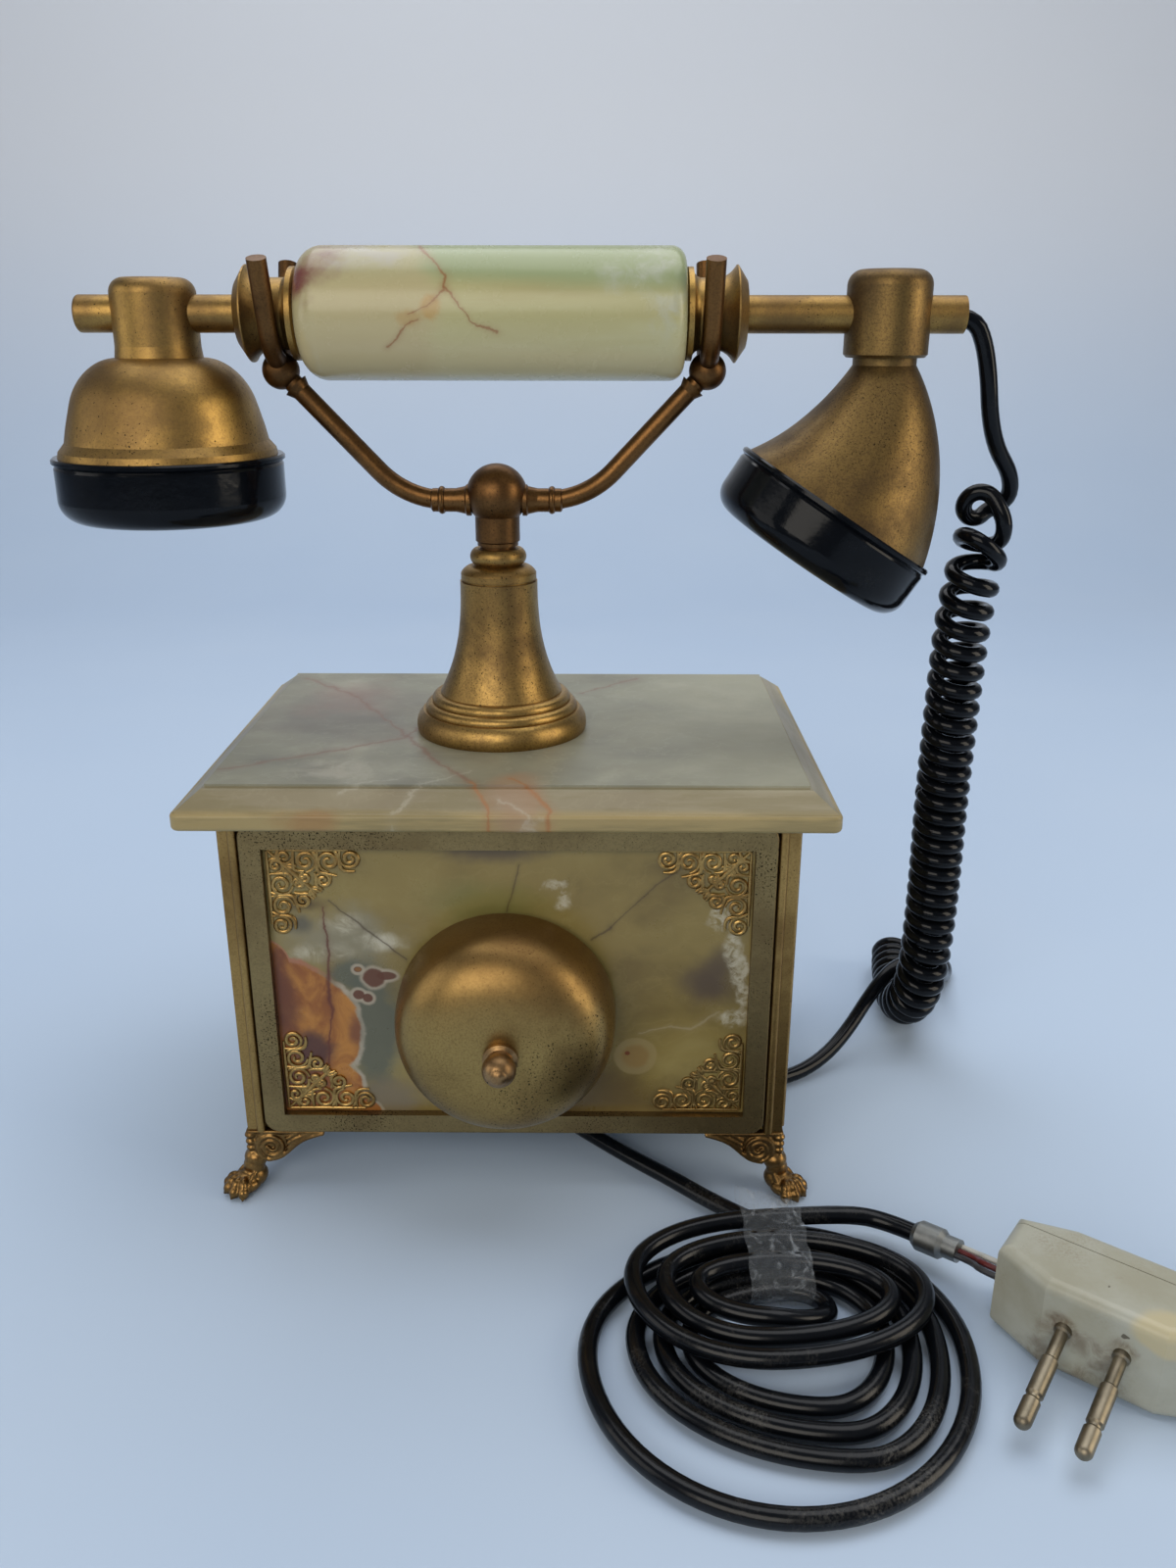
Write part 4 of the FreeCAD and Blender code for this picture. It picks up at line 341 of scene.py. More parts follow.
def quarter(start, end, first_along_x):
    """Control points of a quarter of a loop, an ellipse's quarter from one side to the next."""
    points = []
    for k in range(COIL_KNOTS):
        angle = math.pi / 2 * k / COIL_KNOTS
        quick = math.sin(angle)
        slow = 1 - math.cos(angle)
        shares = (quick, slow) if first_along_x else (slow, quick)
        shares += (k / COIL_KNOTS,)
        points.append(mm(*(a + (b - a) * share for a, b, share in zip(start, end, shares))))
    return points


def coil_points():
    """Control points of the coil: a spiral inwards on the table, and outwards again on top of it."""
    points = []
    for k in range(len(COIL_FAR)):
        z = COIL_HIGH if k > COIL_CLIMB else COIL_LOW
        far_z = COIL_HIGH if k >= COIL_CLIMB else COIL_LOW
        wide = COIL_TIE_Y[k] + (COIL_FAR[k] - COIL_TIE_Y[k]) * COIL_MIDDLE
        back = COIL_TIE_Y[k + 1] + (COIL_FAR[k] - COIL_TIE_Y[k + 1]) * COIL_MIDDLE
        tie = (COIL_TIE_X, COIL_TIE_Y[k], z)
        right = (COIL_RIGHT[k], wide, z)
        far = (COIL_FAR_X[k], COIL_FAR[k], far_z)
        left = (COIL_LEFT[k], back, far_z)
        next_tie = (COIL_TIE_X, COIL_TIE_Y[k + 1], far_z)
        points += quarter(tie, right, True) + quarter(right, far, False)
        points += quarter(far, left, True) + quarter(left, next_tie, False)
    points.append(mm(COIL_TIE_X, COIL_TIE_Y[-1], COIL_HIGH))
    return points


def make_line_cord(sheath, pieces):
    points = LINE_ROUTE + coil_points()
    points += [COIL_EXIT, FERRULE_AT - FERRULE_HEADING * (2 * LINE_CORD_D), FERRULE_AT]
    curve = spline_curve("line_cord", points, LINE_CORD_RESOLUTION)
    curve.bevel_depth = LINE_CORD_D / 2
    curve.bevel_resolution = LINE_CORD_ROUND
    curve.use_fill_caps = True
    curve.materials.append(sheath)
    cord = placed(linked("line_cord", curve), "base", "black_cord", "line_cord_lead", "line_cord_coil")


# Feet

FOOT_CORNER = (78.2, 56.0)
FOOT_TOP = 19.6
FOOT_REACH = 22.5
FOOT_THICK = 3.2
FOOT_EDGE = ((0, 8.8), (4.4, 8.8), (6.5, 9.2), (9.0, 10.4), (11.6, 12.2), (14.4, 14.6), (17.8, 17.0),
             (FOOT_REACH, 18.4), (FOOT_REACH, FOOT_TOP), (0, FOOT_TOP))
FOOT_RIM_RADIUS = 0.62
FOOT_RIM_DROP = 0.6
FOOT_RIM_PROUD = 0.1
FOOT_SCROLL = (6.6, 14.0)
SCROLL_RADIUS = 4.4
SCROLL_START = -115
SCROLL_STEP = -19
SCROLL_STEPS = 43
SCROLL_VANISHES = 52
SCROLL_RIDGE = (0.66, 0.5, 0.55)
LEAF_RIDGES = (
    (((5.0, 9.6), (8.4, 10.0), (11.4, 12.4), (14.4, 15.4), (18, 17.4), (22.4, 18.6)), 0.75, 0.5, 0.5),
    (((11.3, 13.6), (14, 15.8), (17.5, 17.6), (20.4, 18.4)), 0.62, 0.35, 0.45),
    (((11.4, 15.2), (13.6, 16.8), (16, 17.8), (18.4, 18.6)), 0.62, 0.35, 0.45),
    (((11.2, 16.8), (12.6, 17.8), (14.6, 18.6)), 0.6, 0.35, 0.45),
    (((2.2, 12.2), (1.9, 14.5), (2.6, 17), (4.4, 18.6)), 0.6, 0.4, 0.25),
)
RIDGE_SIDES = 8
RIDGE_RESOLUTION = 5
ANKLE = (((1.4, 1.4, 9.6), (3.6, 3.6, 3.2)), ((0.7, 0.7, 7.2), (3.2, 3.2, 3.4)))
ANKLE_BEADS_Z = (17.8, 15.6, 13.5, 11.6)
BEAD_INWARDS = 0.5
BEAD_RADIUS = 1.75
BEAD_SHRINKS = 0.1
BEAD_HALF_HEIGHT = 1.1
PAW_AT = Vector((-1.4, -1.4, 3.0))
PAW_OUT = Vector((-1, -1, 0)).normalized()
PAW_SIDE = Vector((1, -1, 0)).normalized()
PAW_PADS = ((-2.6, 0.7, (4.2, 3.8, 3.6), 0.0), (0.6, -0.2, (5.0, 4.9, 3.0), 0.0))
PAW_LOCK = (2.6, 0.62, 1.0)
LOCKS_EACH_SIDE = 2
LOCK_SPACING = 1.5
LOCK_BACK = (1.2, 0.3)
LOCK_RISE = (3.0, 0.45)
LOCK_TURN = 0.12
LOCK_LEAN = 0.75
TOE_SPREAD = (-47, -16, 16, 47)
TOE_LUMPS = ((3.4, 0.5, (2.5, 1.6, 2.4), 0.45), (5.0, -0.9, (2.0, 1.65, 2.0), 0.0),
             (6.5, -2.0, (0.7, 0.5, 0.6), 0.3))
LUMP_SEGMENTS = 20
LUMP_RINGS = 14
FOOT_VOXEL = 0.3 * MM
FOOT_SOFTENING = 0.5
FOOT_SOFTENED_TIMES = 2


def foot_bracket(across):
    """Bracket along one face of the corner with its scroll, leaves and moulding, in millimetres.

    across is 0 for the bracket that runs along the first axis and 1 for the other.
    A ridge has its points, its thickness at both ends and how far it stands out."""
    def at(run, out, z):
        return Vector((run, -out, z)) if across == 0 else Vector((-out, run, z))

    count = len(FOOT_EDGE)
    vertices = [at(run, out, z) for out in (0.0, -FOOT_THICK) for run, z in FOOT_EDGE]
    faces = [tuple(range(count)), tuple(range(2 * count - 1, count - 1, -1))]
    faces += [(k, k + count, (k + 1) % count + count, (k + 1) % count) for k in range(count)]
    shapes = [(vertices, faces)]
    spiral = []
    for k in range(SCROLL_STEPS):
        angle = math.radians(SCROLL_START + k * SCROLL_STEP)
        radius = SCROLL_RADIUS * (1 - k / SCROLL_VANISHES)
        spiral.append((FOOT_SCROLL[0] + radius * math.cos(angle), FOOT_SCROLL[1] + radius * math.sin(angle)))
    for points, thick, thin, out in ((spiral, *SCROLL_RIDGE), *LEAF_RIDGES):
        line = spline_line([at(run, out, z) for run, z in points], RIDGE_RESOLUTION)
        last = len(line) - 1
        shapes.append(tube(line, [thick + (thin - thick) * k / last for k in range(last + 1)], RIDGE_SIDES))
    rim = [at(run, FOOT_RIM_PROUD, FOOT_TOP - FOOT_RIM_DROP) for run in (0, FOOT_REACH)]
    shapes.append(tube(rim, FOOT_RIM_RADIUS, RIDGE_SIDES))
    return shapes


def lump(bm, at, radii, turn=0.0, lean=0.0):
    matrix = Matrix.Translation(at) @ Matrix.Rotation(turn, 4, "Z") @ Matrix.Rotation(lean, 4, "Y")
    matrix = matrix @ Matrix.Diagonal((*radii, 1))
    bmesh.ops.create_uvsphere(bm, u_segments=LUMP_SEGMENTS, v_segments=LUMP_RINGS, radius=1, matrix=matrix)


def paw_lumps(bm, way, lumps):
    """Lumps along one direction of the paw: how far out, how high, their radii and their lean."""
    for along, rise, radii, lean in lumps:
        lump(bm, PAW_AT + way * along + UP * rise, radii, math.atan2(way.y, way.x), lean)


def cast_foot():
    """A foot at its corner, with both axes running inwards: one skin round brackets, ankle and paw."""
    vertices, faces = merged(foot_bracket(0) + foot_bracket(1))
    rough = bpy.data.meshes.new("rough_foot")
    rough.from_pydata(vertices, [], faces)
    bm = bmesh.new()
    bm.from_mesh(rough)
    for k, z in enumerate(ANKLE_BEADS_Z):
        radius = BEAD_RADIUS - BEAD_SHRINKS * k
        lump(bm, Vector((BEAD_INWARDS, BEAD_INWARDS, z)), (radius, radius, BEAD_HALF_HEIGHT))
    for at, radii in ANKLE:
        lump(bm, Vector(at), radii)
    paw_lumps(bm, PAW_OUT, PAW_PADS)
    for k in range(-LOCKS_EACH_SIDE, LOCKS_EACH_SIDE + 1):
        back = PAW_OUT * (LOCK_BACK[0] - LOCK_BACK[1] * abs(k))
        rise = UP * (LOCK_RISE[0] - LOCK_RISE[1] * abs(k))
        lock = PAW_AT + PAW_SIDE * (LOCK_SPACING * k) - back + rise
        lump(bm, lock, PAW_LOCK, math.atan2(PAW_OUT.y, PAW_OUT.x) + LOCK_TURN * k, LOCK_LEAN)
    for spread in TOE_SPREAD:
        paw_lumps(bm, Matrix.Rotation(math.radians(spread), 3, "Z") @ PAW_OUT, TOE_LUMPS)
    bmesh.ops.scale(bm, vec=(MM, MM, MM), verts=bm.verts)
    bm.to_mesh(rough)
    bm.free()
    obj = linked("rough_foot", rough)
    skin = obj.modifiers.new("skin", "REMESH")
    skin.mode = "VOXEL"
    skin.voxel_size = FOOT_VOXEL
    soft = obj.modifiers.new("soft", "SMOOTH")
    soft.factor = FOOT_SOFTENING
    soft.iterations = FOOT_SOFTENED_TIMES
    whole = bpy.data.meshes.new_from_object(obj.evaluated_get(bpy.context.evaluated_depsgraph_get()))
    bpy.data.objects.remove(obj)
    bpy.data.meshes.remove(rough)
    return points_and_faces(whole)


def make_feet(brass):
    vertices, faces = cast_foot()
    inside_out = [face[::-1] for face in faces]
    shapes = []
    for x_side in (-1, 1):
        for y_side in (-1, 1):
            corner = []
            for v in vertices:
                x = x_side * (FOOT_CORNER[0] * MM - v.x)
                y = y_side * (FOOT_CORNER[1] * MM - v.y)
                corner.append(Vector((x, y, max(v.z, 0))))
            shapes.append((corner, faces if x_side * y_side > 0 else inside_out))
    feet = mesh_object("cast_feet", *merged(shapes), brass)
    placed(feet, "base", "brass_cast", "paw_feet")


# Filigree

FILIGREE_LIFT = 0.34 * MM
FILIGREE_FLAT = (Vector((0, 1, 0)), 0.75)
FILIGREE_SIDES = 7
FILIGREE_RESOLUTION = 4
FILIGREE_CRISP = 50
FILIGREE_SCROLLS = (
    (23.3, 3.3, 2.9, 190, -1.7), (17.5, 4.1, 3.2, 95, 1.6), (11.1, 4.1, 3.2, 85, -1.6),
    (15.7, 9.7, 2.3, 205, 1.5), (5.4, 2.9, 2.1, 10, 1.4), (10.7, 8.9, 1.6, 265, -1.4))
FILIGREE_SCROLL_STEPS = 24
FILIGREE_SCROLL_SHRINKS = 0.8
FILIGREE_SCROLL_RADII = (0.36, 0.62)
FILIGREE_STEMS = (
    ((1.0, 0.7), (8, 0.75), (16, 0.7), (23, 0.7)),
    ((20.6, 0.9), (20.0, 4.8), (21.6, 7.4), (24.4, 7.0)),
    ((14.6, 0.9), (14.2, 4.0), (14.2, 7.2), (16.4, 7.8), (19.4, 8.4)),
    ((8.0, 0.9), (7.6, 4.6), (7.8, 7.2), (10.6, 7.0)),
    ((13.4, 7.4), (14.0, 9.0), (13.4, 11.6), (15.4, 12.6)),
    ((19.2, 0.9), (20.2, 2.0), (20.4, 3.4)),
    ((13.2, 0.9), (14.0, 2.0), (14.2, 3.2)),
    ((4.0, 0.9), (3.2, 2.2), (3.4, 4.6)))
FILIGREE_STEM_RADII = (0.34, 0.62)
FILIGREE_RIB = ((1, 1), (5, 5), (10, 10), (13.6, 13.6))
FILIGREE_RIB_RADII = (0.4, 0.7)
FILIGREE_LEAVES = ((5.6, 2.4), (9.0, 1.6), (12.2, 2.2))
FILIGREE_LEAF_LEANS = (-78, -40, 40, 78)
FILIGREE_LEAF_BENDS = ((0.7, 1.0), (1.3, 0.6))
FILIGREE_LEAF_RADII = (0.3, 0.6)


def filigree_corner():
    """Scrollwork of one corner: lines of points in its plane, with radii at the ends and the middle."""
    lines = []
    for run, rise, radius, start, turns in FILIGREE_SCROLLS:
        points = []
        for k in range(FILIGREE_SCROLL_STEPS + 1):
            share = k / FILIGREE_SCROLL_STEPS
            angle = math.radians(start) + 2 * math.pi * turns * share
            reach = radius * (1 - FILIGREE_SCROLL_SHRINKS * share)
            points.append((run + reach * math.cos(angle), rise + reach * math.sin(angle)))
        lines.append((points, FILIGREE_SCROLL_RADII))
    lines += [(stem, FILIGREE_STEM_RADII) for stem in FILIGREE_STEMS]
    lines += [([(rise, run) for run, rise in points], radii) for points, radii in lines]
    lines.append((FILIGREE_RIB, FILIGREE_RIB_RADII))
    for along, size in FILIGREE_LEAVES:
        for lean in FILIGREE_LEAF_LEANS:
            points = [(along, along)]
            for share, bend in FILIGREE_LEAF_BENDS:
                reach = size * share
                angle = math.radians(45 + lean * bend)
                points.append((along + reach * math.cos(angle), along + reach * math.sin(angle)))
            lines.append((points, FILIGREE_LEAF_RADII))
    return lines


def make_filigree(name, brass, stands_for):
    """Four pierced corners on a panel, in the place of their plates."""
    lines = filigree_corner()
    low, high = (Vector(corner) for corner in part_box(stands_for))
    y = high.y - FILIGREE_LIFT if low.y < 0 else low.y + FILIGREE_LIFT
    shapes = []
    for x, x_way in ((low.x, MM), (high.x, -MM)):
        for z, z_way in ((low.z, MM), (high.z, -MM)):
            for points, (thin, thick) in lines:
                points = [Vector((x + x_way * run, y, z + z_way * rise)) for run, rise in points]
                line = spline_line(points, FILIGREE_RESOLUTION)
                last = len(line) - 1
                radii = [(thin + (thick - thin) * math.sin(math.pi * k / last)) * MM for k in range(last + 1)]
                shapes.append(tube(line, radii, FILIGREE_SIDES, FILIGREE_FLAT))
    obj = mesh_object(name, *merged(shapes), brass, FILIGREE_CRISP)
    placed(obj, "base", "brass_cast", stands_for)


# Dial numbers

DIAL_AT = mm(0, 54.8, 67.4)
DIAL_HOLE_RADIUS = 24.3 * MM
DIAL_FIRST = 55
DIAL_STEP = 30
NUMBER_LIFT = 1.63 * MM
NUMBER_HEIGHT = 7 * MM
NUMBER_RESOLUTION = 4


def make_dial_numbers(ink):
    shapes = []
    for k in range(10):
        text = bpy.data.curves.new("number", "FONT")
        text.body = str((k + 1) % 10)
        text.size = NUMBER_HEIGHT
        text.align_x = "CENTER"
        text.align_y = "CENTER"
        text.resolution_u = NUMBER_RESOLUTION
        flat, faces = curve_shape(text)
        angle = math.radians(DIAL_FIRST + DIAL_STEP * k)
        centre = DIAL_AT + Vector((-math.cos(angle), 0, math.sin(angle))) * DIAL_HOLE_RADIUS
        shapes.append(([centre + Vector((-v.x, NUMBER_LIFT, v.y)) for v in flat], faces))
    placed(mesh_object("dial_numbers", *merged(shapes), ink), "base", "black_cap")


# Tape and wires of the line cord

TAPE_X = (64.0, 80.6)
TAPE_Y = (-107.4, -66.8)
TAPE_SLANT = -0.46
TAPE_Z = (0.25, 11.75)
TAPE_ROUND = 4.5
TAPE_ROUND_STEPS = 8
TAPE_THICK = 0.12
TAPE_INSET = 0.25
TAPE_ROWS = 34
TAPE_STEP = 0.8
TAPE_CREASES = ((0.2, 0.9, 0.55, 0), (0.16, 1.7, -1.1, 1), (0.1, 0.8, 2.9, 0))
TAPE_FLAT_BELOW = 2
TAPE_FLATTENED = 0.1
TAPE_RAGGED = 0.3
TAPE_RAGGED_STEP = 0.403


def tape_ring():
    """Points round the strands in the plane across the tape, each with its direction outwards."""
    front = TAPE_Y[0] + TAPE_ROUND
    back = TAPE_Y[1] - TAPE_ROUND
    low = TAPE_Z[0] + TAPE_ROUND
    high = TAPE_Z[1] - TAPE_ROUND
    outline = []
    for y, z, start in ((back, low, -90), (back, high, 0), (front, high, 90), (front, low, 180)):
        for k in range(TAPE_ROUND_STEPS + 1):
            angle = math.radians(start + 90 * k / TAPE_ROUND_STEPS)
            across = math.cos(angle)
            up = math.sin(angle)
            outline.append((y + TAPE_ROUND * across, z + TAPE_ROUND * up, across, up))
    ring = []
    for a, b in zip(outline, outline[1:] + outline[:1]):
        steps = max(1, int(math.hypot(b[0] - a[0], b[1] - a[1]) / TAPE_STEP))
        for k in range(steps):
            ring.append([p + (q - p) * (k / steps) for p, q in zip(a, b)])
    return ring


def make_tape(film):
    """Clear tape round the back of the coil, creased where it bridges the turns and smooth on the table."""
    ring = tape_ring()
    count = len(ring)
    vertices = []
    for layer in (0, 1):
        for row in range(TAPE_ROWS + 1):
            x = TAPE_X[0] + (TAPE_X[1] - TAPE_X[0]) * row / TAPE_ROWS
            for k, (y, z, y_out, z_out) in enumerate(ring):
                crease = sum(size * math.sin(a * x + b * y + c) for size, a, b, c in TAPE_CREASES)
                if z < TAPE_FLAT_BELOW:
                    crease *= TAPE_FLATTENED
                lift = crease - TAPE_THICK * layer - TAPE_INSET
                ragged = TAPE_RAGGED * math.sin(TAPE_RAGGED_STEP * k) if row in (0, TAPE_ROWS) else 0
                slant = TAPE_SLANT * (x - TAPE_X[0]) * (y - TAPE_Y[0]) / (TAPE_Y[1] - TAPE_Y[0])
                vertices.append(mm(x + ragged, y + slant + y_out * lift, z + z_out * lift))
    faces = []
    inner = (TAPE_ROWS + 1) * count
    for row in range(TAPE_ROWS):
        for k in range(count):
            a = row * count + k
            b = row * count + (k + 1) % count
            faces.append((a, a + count, b + count, b))
            faces.append((a + inner, b + inner, b + count + inner, a + count + inner))
    for row in (0, TAPE_ROWS):
        for k in range(count):
            a = row * count + k
            b = row * count + (k + 1) % count
            faces.append((a, b, b + inner, a + inner) if row == 0 else (b, a, a + inner, b + inner))
    return placed(mesh_object("coil_tape", vertices, faces, film), "base", "clear_tape", "cord_tape")


PLUG_AT = mm(128.5, -105.5, 0)
PLUG_ALONG = Vector((0.8, -0.6, 0))
PLUG_OUT = Vector((-0.6, -0.8, 0))
WIRE_D = 1.7 * MM
WIRE_SIDES = 10
WIRE_RESOLUTION = 8
WIRE_ENTRY_Z = 12.5 * MM
WIRE_SUNK = 1 * MM
WIRE_RUN = 6 * MM
FERRULE_WIRE_STEP = 2.0 * MM
PLUG_WIRE_STEP = 2.7 * MM


def make_wires(colours):
    """Three thin wires from the ferrule into the plug."""
    made = []
    start = FERRULE_AT + FERRULE_HEADING * FERRULE_LENGTH
    entry = PLUG_AT + UP * WIRE_ENTRY_Z
    across = FERRULE_HEADING.cross(UP).normalized()
    for k, (name, finish) in zip((-1, 0, 1), colours):
        first = start + across * (FERRULE_WIRE_STEP * k) - FERRULE_HEADING * WIRE_SUNK
        last = entry + PLUG_OUT * (PLUG_WIRE_STEP * k) + PLUG_ALONG * WIRE_SUNK
        bends = [first, first + FERRULE_HEADING * WIRE_RUN, last - PLUG_ALONG * WIRE_RUN, last]
        wire = tube(spline_line(bends, WIRE_RESOLUTION), WIRE_D / 2, WIRE_SIDES)
        wire = mesh_object("wire_" + name, *wire, finish)
        made.append(placed(wire, "base", "wire_insulation", "plug_wires"))
    return made


# Shader nodes

class Value:
    """What a shader node puts out. It takes plain arithmetic with other values, numbers and vectors."""

    def __init__(self, tree, socket):
        self.tree = tree
        self.socket = socket

    def __add__(self, other):
        return worked("ADD", self, other)

    def __radd__(self, other):
        return worked("ADD", other, self)

    def __sub__(self, other):
        return worked("SUBTRACT", self, other)

    def __rsub__(self, other):
        return worked("SUBTRACT", other, self)

    def __mul__(self, other):
        return worked("MULTIPLY", self, other)

    def __truediv__(self, other):
        return worked("DIVIDE", self, other)

    def held(self):
        """Kept between 0 and 1 by its own node."""
        self.socket.node.use_clamp = True
        return self


def give(tree, socket, value):
    """A socket linked to a value, or set to a number, vector or colour; None leaves it alone."""
    if isinstance(value, Value):
        tree.links.new(value.socket, socket)
    elif value is not None:
        plain_color = socket.type == "RGBA" and len(value) == 3
        socket.default_value = (*value, 1) if plain_color else value


def give_named(tree, sockets, values):
    """Sockets given their values by name; underscores stand for spaces."""
    for name, value in values.items():
        give(tree, sockets[name.replace("_", " ")], value)


def node(tree, kind, *inputs, out=0, settings=None, **named):
    """One output of a new shader node, with inputs in order and by name."""
    made = tree.nodes.new(kind)
    for name, value in (settings or {}).items():
        setattr(made, name, value)
    for socket, value in zip(made.inputs, inputs):
        give(tree, socket, value)
    give_named(tree, made.inputs, named)
    return Value(tree, made.outputs[out])


def worked(operation, a, b=None, out=0):
    """Math on numbers, or on vectors where a vector is given."""
    known = a if isinstance(a, Value) else b
    kind = "ShaderNodeMath" if known.socket.type == "VALUE" else "ShaderNodeVectorMath"
    return node(known.tree, kind, a, b, out=out, settings={"operation": operation})


def scaled(vector, factor):
    return node(vector.tree, "ShaderNodeVectorMath", vector, settings={"operation": "SCALE"}, Scale=factor)


def largest(*values):
    top = values[0]
    for value in values[1:]:
        top = worked("MAXIMUM", top, value)
    return top


def mixed(share, a, b):
    """A colour from a to b by a share between 0 and 1."""
    made = share.tree.nodes.new("ShaderNodeMix")
    made.data_type = "RGBA"
    for index, value in ((0, share), (6, a), (7, b)):
        give(share.tree, made.inputs[index], value)
    return Value(share.tree, made.outputs[2])


def noise(at, scale, detail=4.0, rough=0.5, twist=0.0, out="Fac"):
    return node(at.tree, "ShaderNodeTexNoise", Vector=at, Scale=scale, Detail=detail, Roughness=rough,
                Distortion=twist, out=out)


def ramp(value, low, high):
    """0 below the low value, 1 above the high one."""
    return node(value.tree, "ShaderNodeMapRange", settings={"interpolation_type": "SMOOTHSTEP"},
                Value=value, From_Min=low, From_Max=high)


def bumped(height, strength, distance):
    return node(height.tree, "ShaderNodeBump", Height=height, Strength=strength, Distance=distance)


def place(tree):
    """The point of the surface, in metres."""
    return node(tree, "ShaderNodeTexCoord", out="Object")


def axis(vector, name):
    return node(vector.tree, "ShaderNodeSeparateXYZ", vector, out=name)


def hollows(tree, distance):
    """How deep a point lies in a hollow of this size."""
    return 1 - node(tree, "ShaderNodeAmbientOcclusion", settings={"samples": 4}, Distance=distance, out="AO")


def group(name, **inputs):
    """A new shader group, with the values that it is given by name."""
    tree = bpy.data.node_groups.new(name, "ShaderNodeTree")
    for label, value in inputs.items():
        kind = "Float" if isinstance(value, float) else "Vector" if len(value) == 3 else "Color"
        label = label.replace("_", " ")
        socket = tree.interface.new_socket(label, in_out="INPUT", socket_type="NodeSocket" + kind)
        socket.default_value = value
    return tree, {socket.name: Value(tree, socket) for socket in tree.nodes.new("NodeGroupInput").outputs}


def shows(tree, **outputs):
    """The group with its outputs, which are colours or plain values."""
    for label, value in outputs.items():
        kind = "Color" if value.socket.type == "RGBA" else "Float"
        tree.interface.new_socket(label, in_out="OUTPUT", socket_type="NodeSocket" + kind)
    give_named(tree, tree.nodes.new("NodeGroupOutput").inputs, outputs)
    return tree


def use(tree, kit, **values):
    """What a group puts out by name, placed in a material with its own values."""
    made = tree.nodes.new("ShaderNodeGroup")
    made.node_tree = kit
    give_named(tree, made.inputs, values)
    return {socket.name: Value(tree, socket) for socket in made.outputs}


def crack_group():
    """Mask of a crack between two points of the stone, and a soft halo round it."""
    tree, given = group("crack", Start=(0, 0, 0), End=(0, 0, 0), Width=0.001, Wobble=0.002, Across=(1, 0, 1))
    at = place(tree)
    shake = noise(at, 170.0, 4.0, 0.65, out="Color") - (0.5, 0.5, 0.5)
    at = at + scaled(shake, given["Wobble"])
    reach = (at - given["Start"]) * given["Across"]
    whole = (given["End"] - given["Start"]) * given["Across"]
    share = worked("DOT_PRODUCT", reach, whole, "Value") / worked("DOT_PRODUCT", whole, whole, "Value")
    far = worked("LENGTH", reach - scaled(whole, share.held()), out="Value")
    thin = given["Width"] * ramp(noise(at, 60.0), 0.2, 0.7)
    mask = (1 - far / (thin + 0.0001)).held()
    halo = (1 - far / (thin * 5.0 + 0.0006)).held()
    return shows(tree, Mask=mask, Halo=halo * halo)


def blotch_group():
    """Field of a ragged patch: above zero inside it, in shares of its radius."""
    tree, given = group("blotch", Centre=(0, 0, 0), Radius=(0.01, 1, 0.01), Ragged=0.3, Grain=120.0)
    at = place(tree)
    far = worked("LENGTH", (at - given["Centre"]) / given["Radius"], out="Value")
    rough = (noise(at, given["Grain"], 5.0, 0.6) - 0.5) * (given["Ragged"] * 2.2)
    return shows(tree, Field=1 - far + rough)


def tarnish_group():
    """Old brass: bright metal, brown tarnish in patches and hollows, black specks."""
    tree, given = group("tarnish", Bright=(0.5, 0.33, 0.12, 1), Brown=(0.2, 0.1, 0.03, 1),
                        Black=(0.02, 0.015, 0.01, 1), Patches=0.5, Patch_Size=35.0, Specks=0.5,
                        Speck_Size=900.0, Hollows=0.5, Smooth=0.3, Dull=0.5, Grain=0.45, Spread=0.0)
    at = place(tree)
    patch = ramp(noise(at, given["Patch Size"], 6.0, 0.6, 0.4), 0.38, 0.68) * given["Patches"]
    hollow = ramp(hollows(tree, 0.004), 0.15, 0.75) * given["Hollows"]
    brown = largest(patch.held(), hollow.held())
    color = mixed(brown, given["Bright"], given["Brown"])
    grain = ramp(noise(at, 1700.0, 3.0, 0.7), 0.4, 0.7) * given["Grain"]
    color = mixed(grain, color, given["Brown"])
    where = largest(ramp(noise(at, 32.0, 3.0), 0.35, 0.62), given["Spread"])
    limit = 0.72 - where * (given["Specks"] * 0.16)
    speck = ramp(noise(at, given["Speck Size"], 2.0, 0.6) - limit, 0.0, 0.05)
    speck = speck * worked("MINIMUM", given["Specks"] * 2.0, 1.0)
    color = mixed(speck, color, given["Black"])
    rough = given["Smooth"] + largest(brown, speck) * (given["Dull"] - given["Smooth"])
    rough = rough + (noise(at, 400.0, 3.0) - 0.5) * 0.12
    return shows(tree, Color=color, Roughness=rough, Height=noise(at, 700.0, 3.0) - speck)


def dust_group():
    """Grey dust and scuffs: a mask that gathers on upper faces and in patches."""
    tree, given = group("dust", Amount=0.5, Size=60.0, Upward=0.5)
    at = place(tree)
    facing = axis(node(tree, "ShaderNodeNewGeometry", out="Normal"), "Z")
    top = 1 - given["Upward"] + ramp(facing, 0.0, 0.9) * given["Upward"]
    cloud = ramp(noise(at, given["Size"], 8.0, 0.7), 0.5, 0.72)
    fine = ramp(noise(at, 1400.0, 3.0, 0.6), 0.35, 0.7)
    return shows(tree, Mask=(cloud * fine * top * given["Amount"]).held())


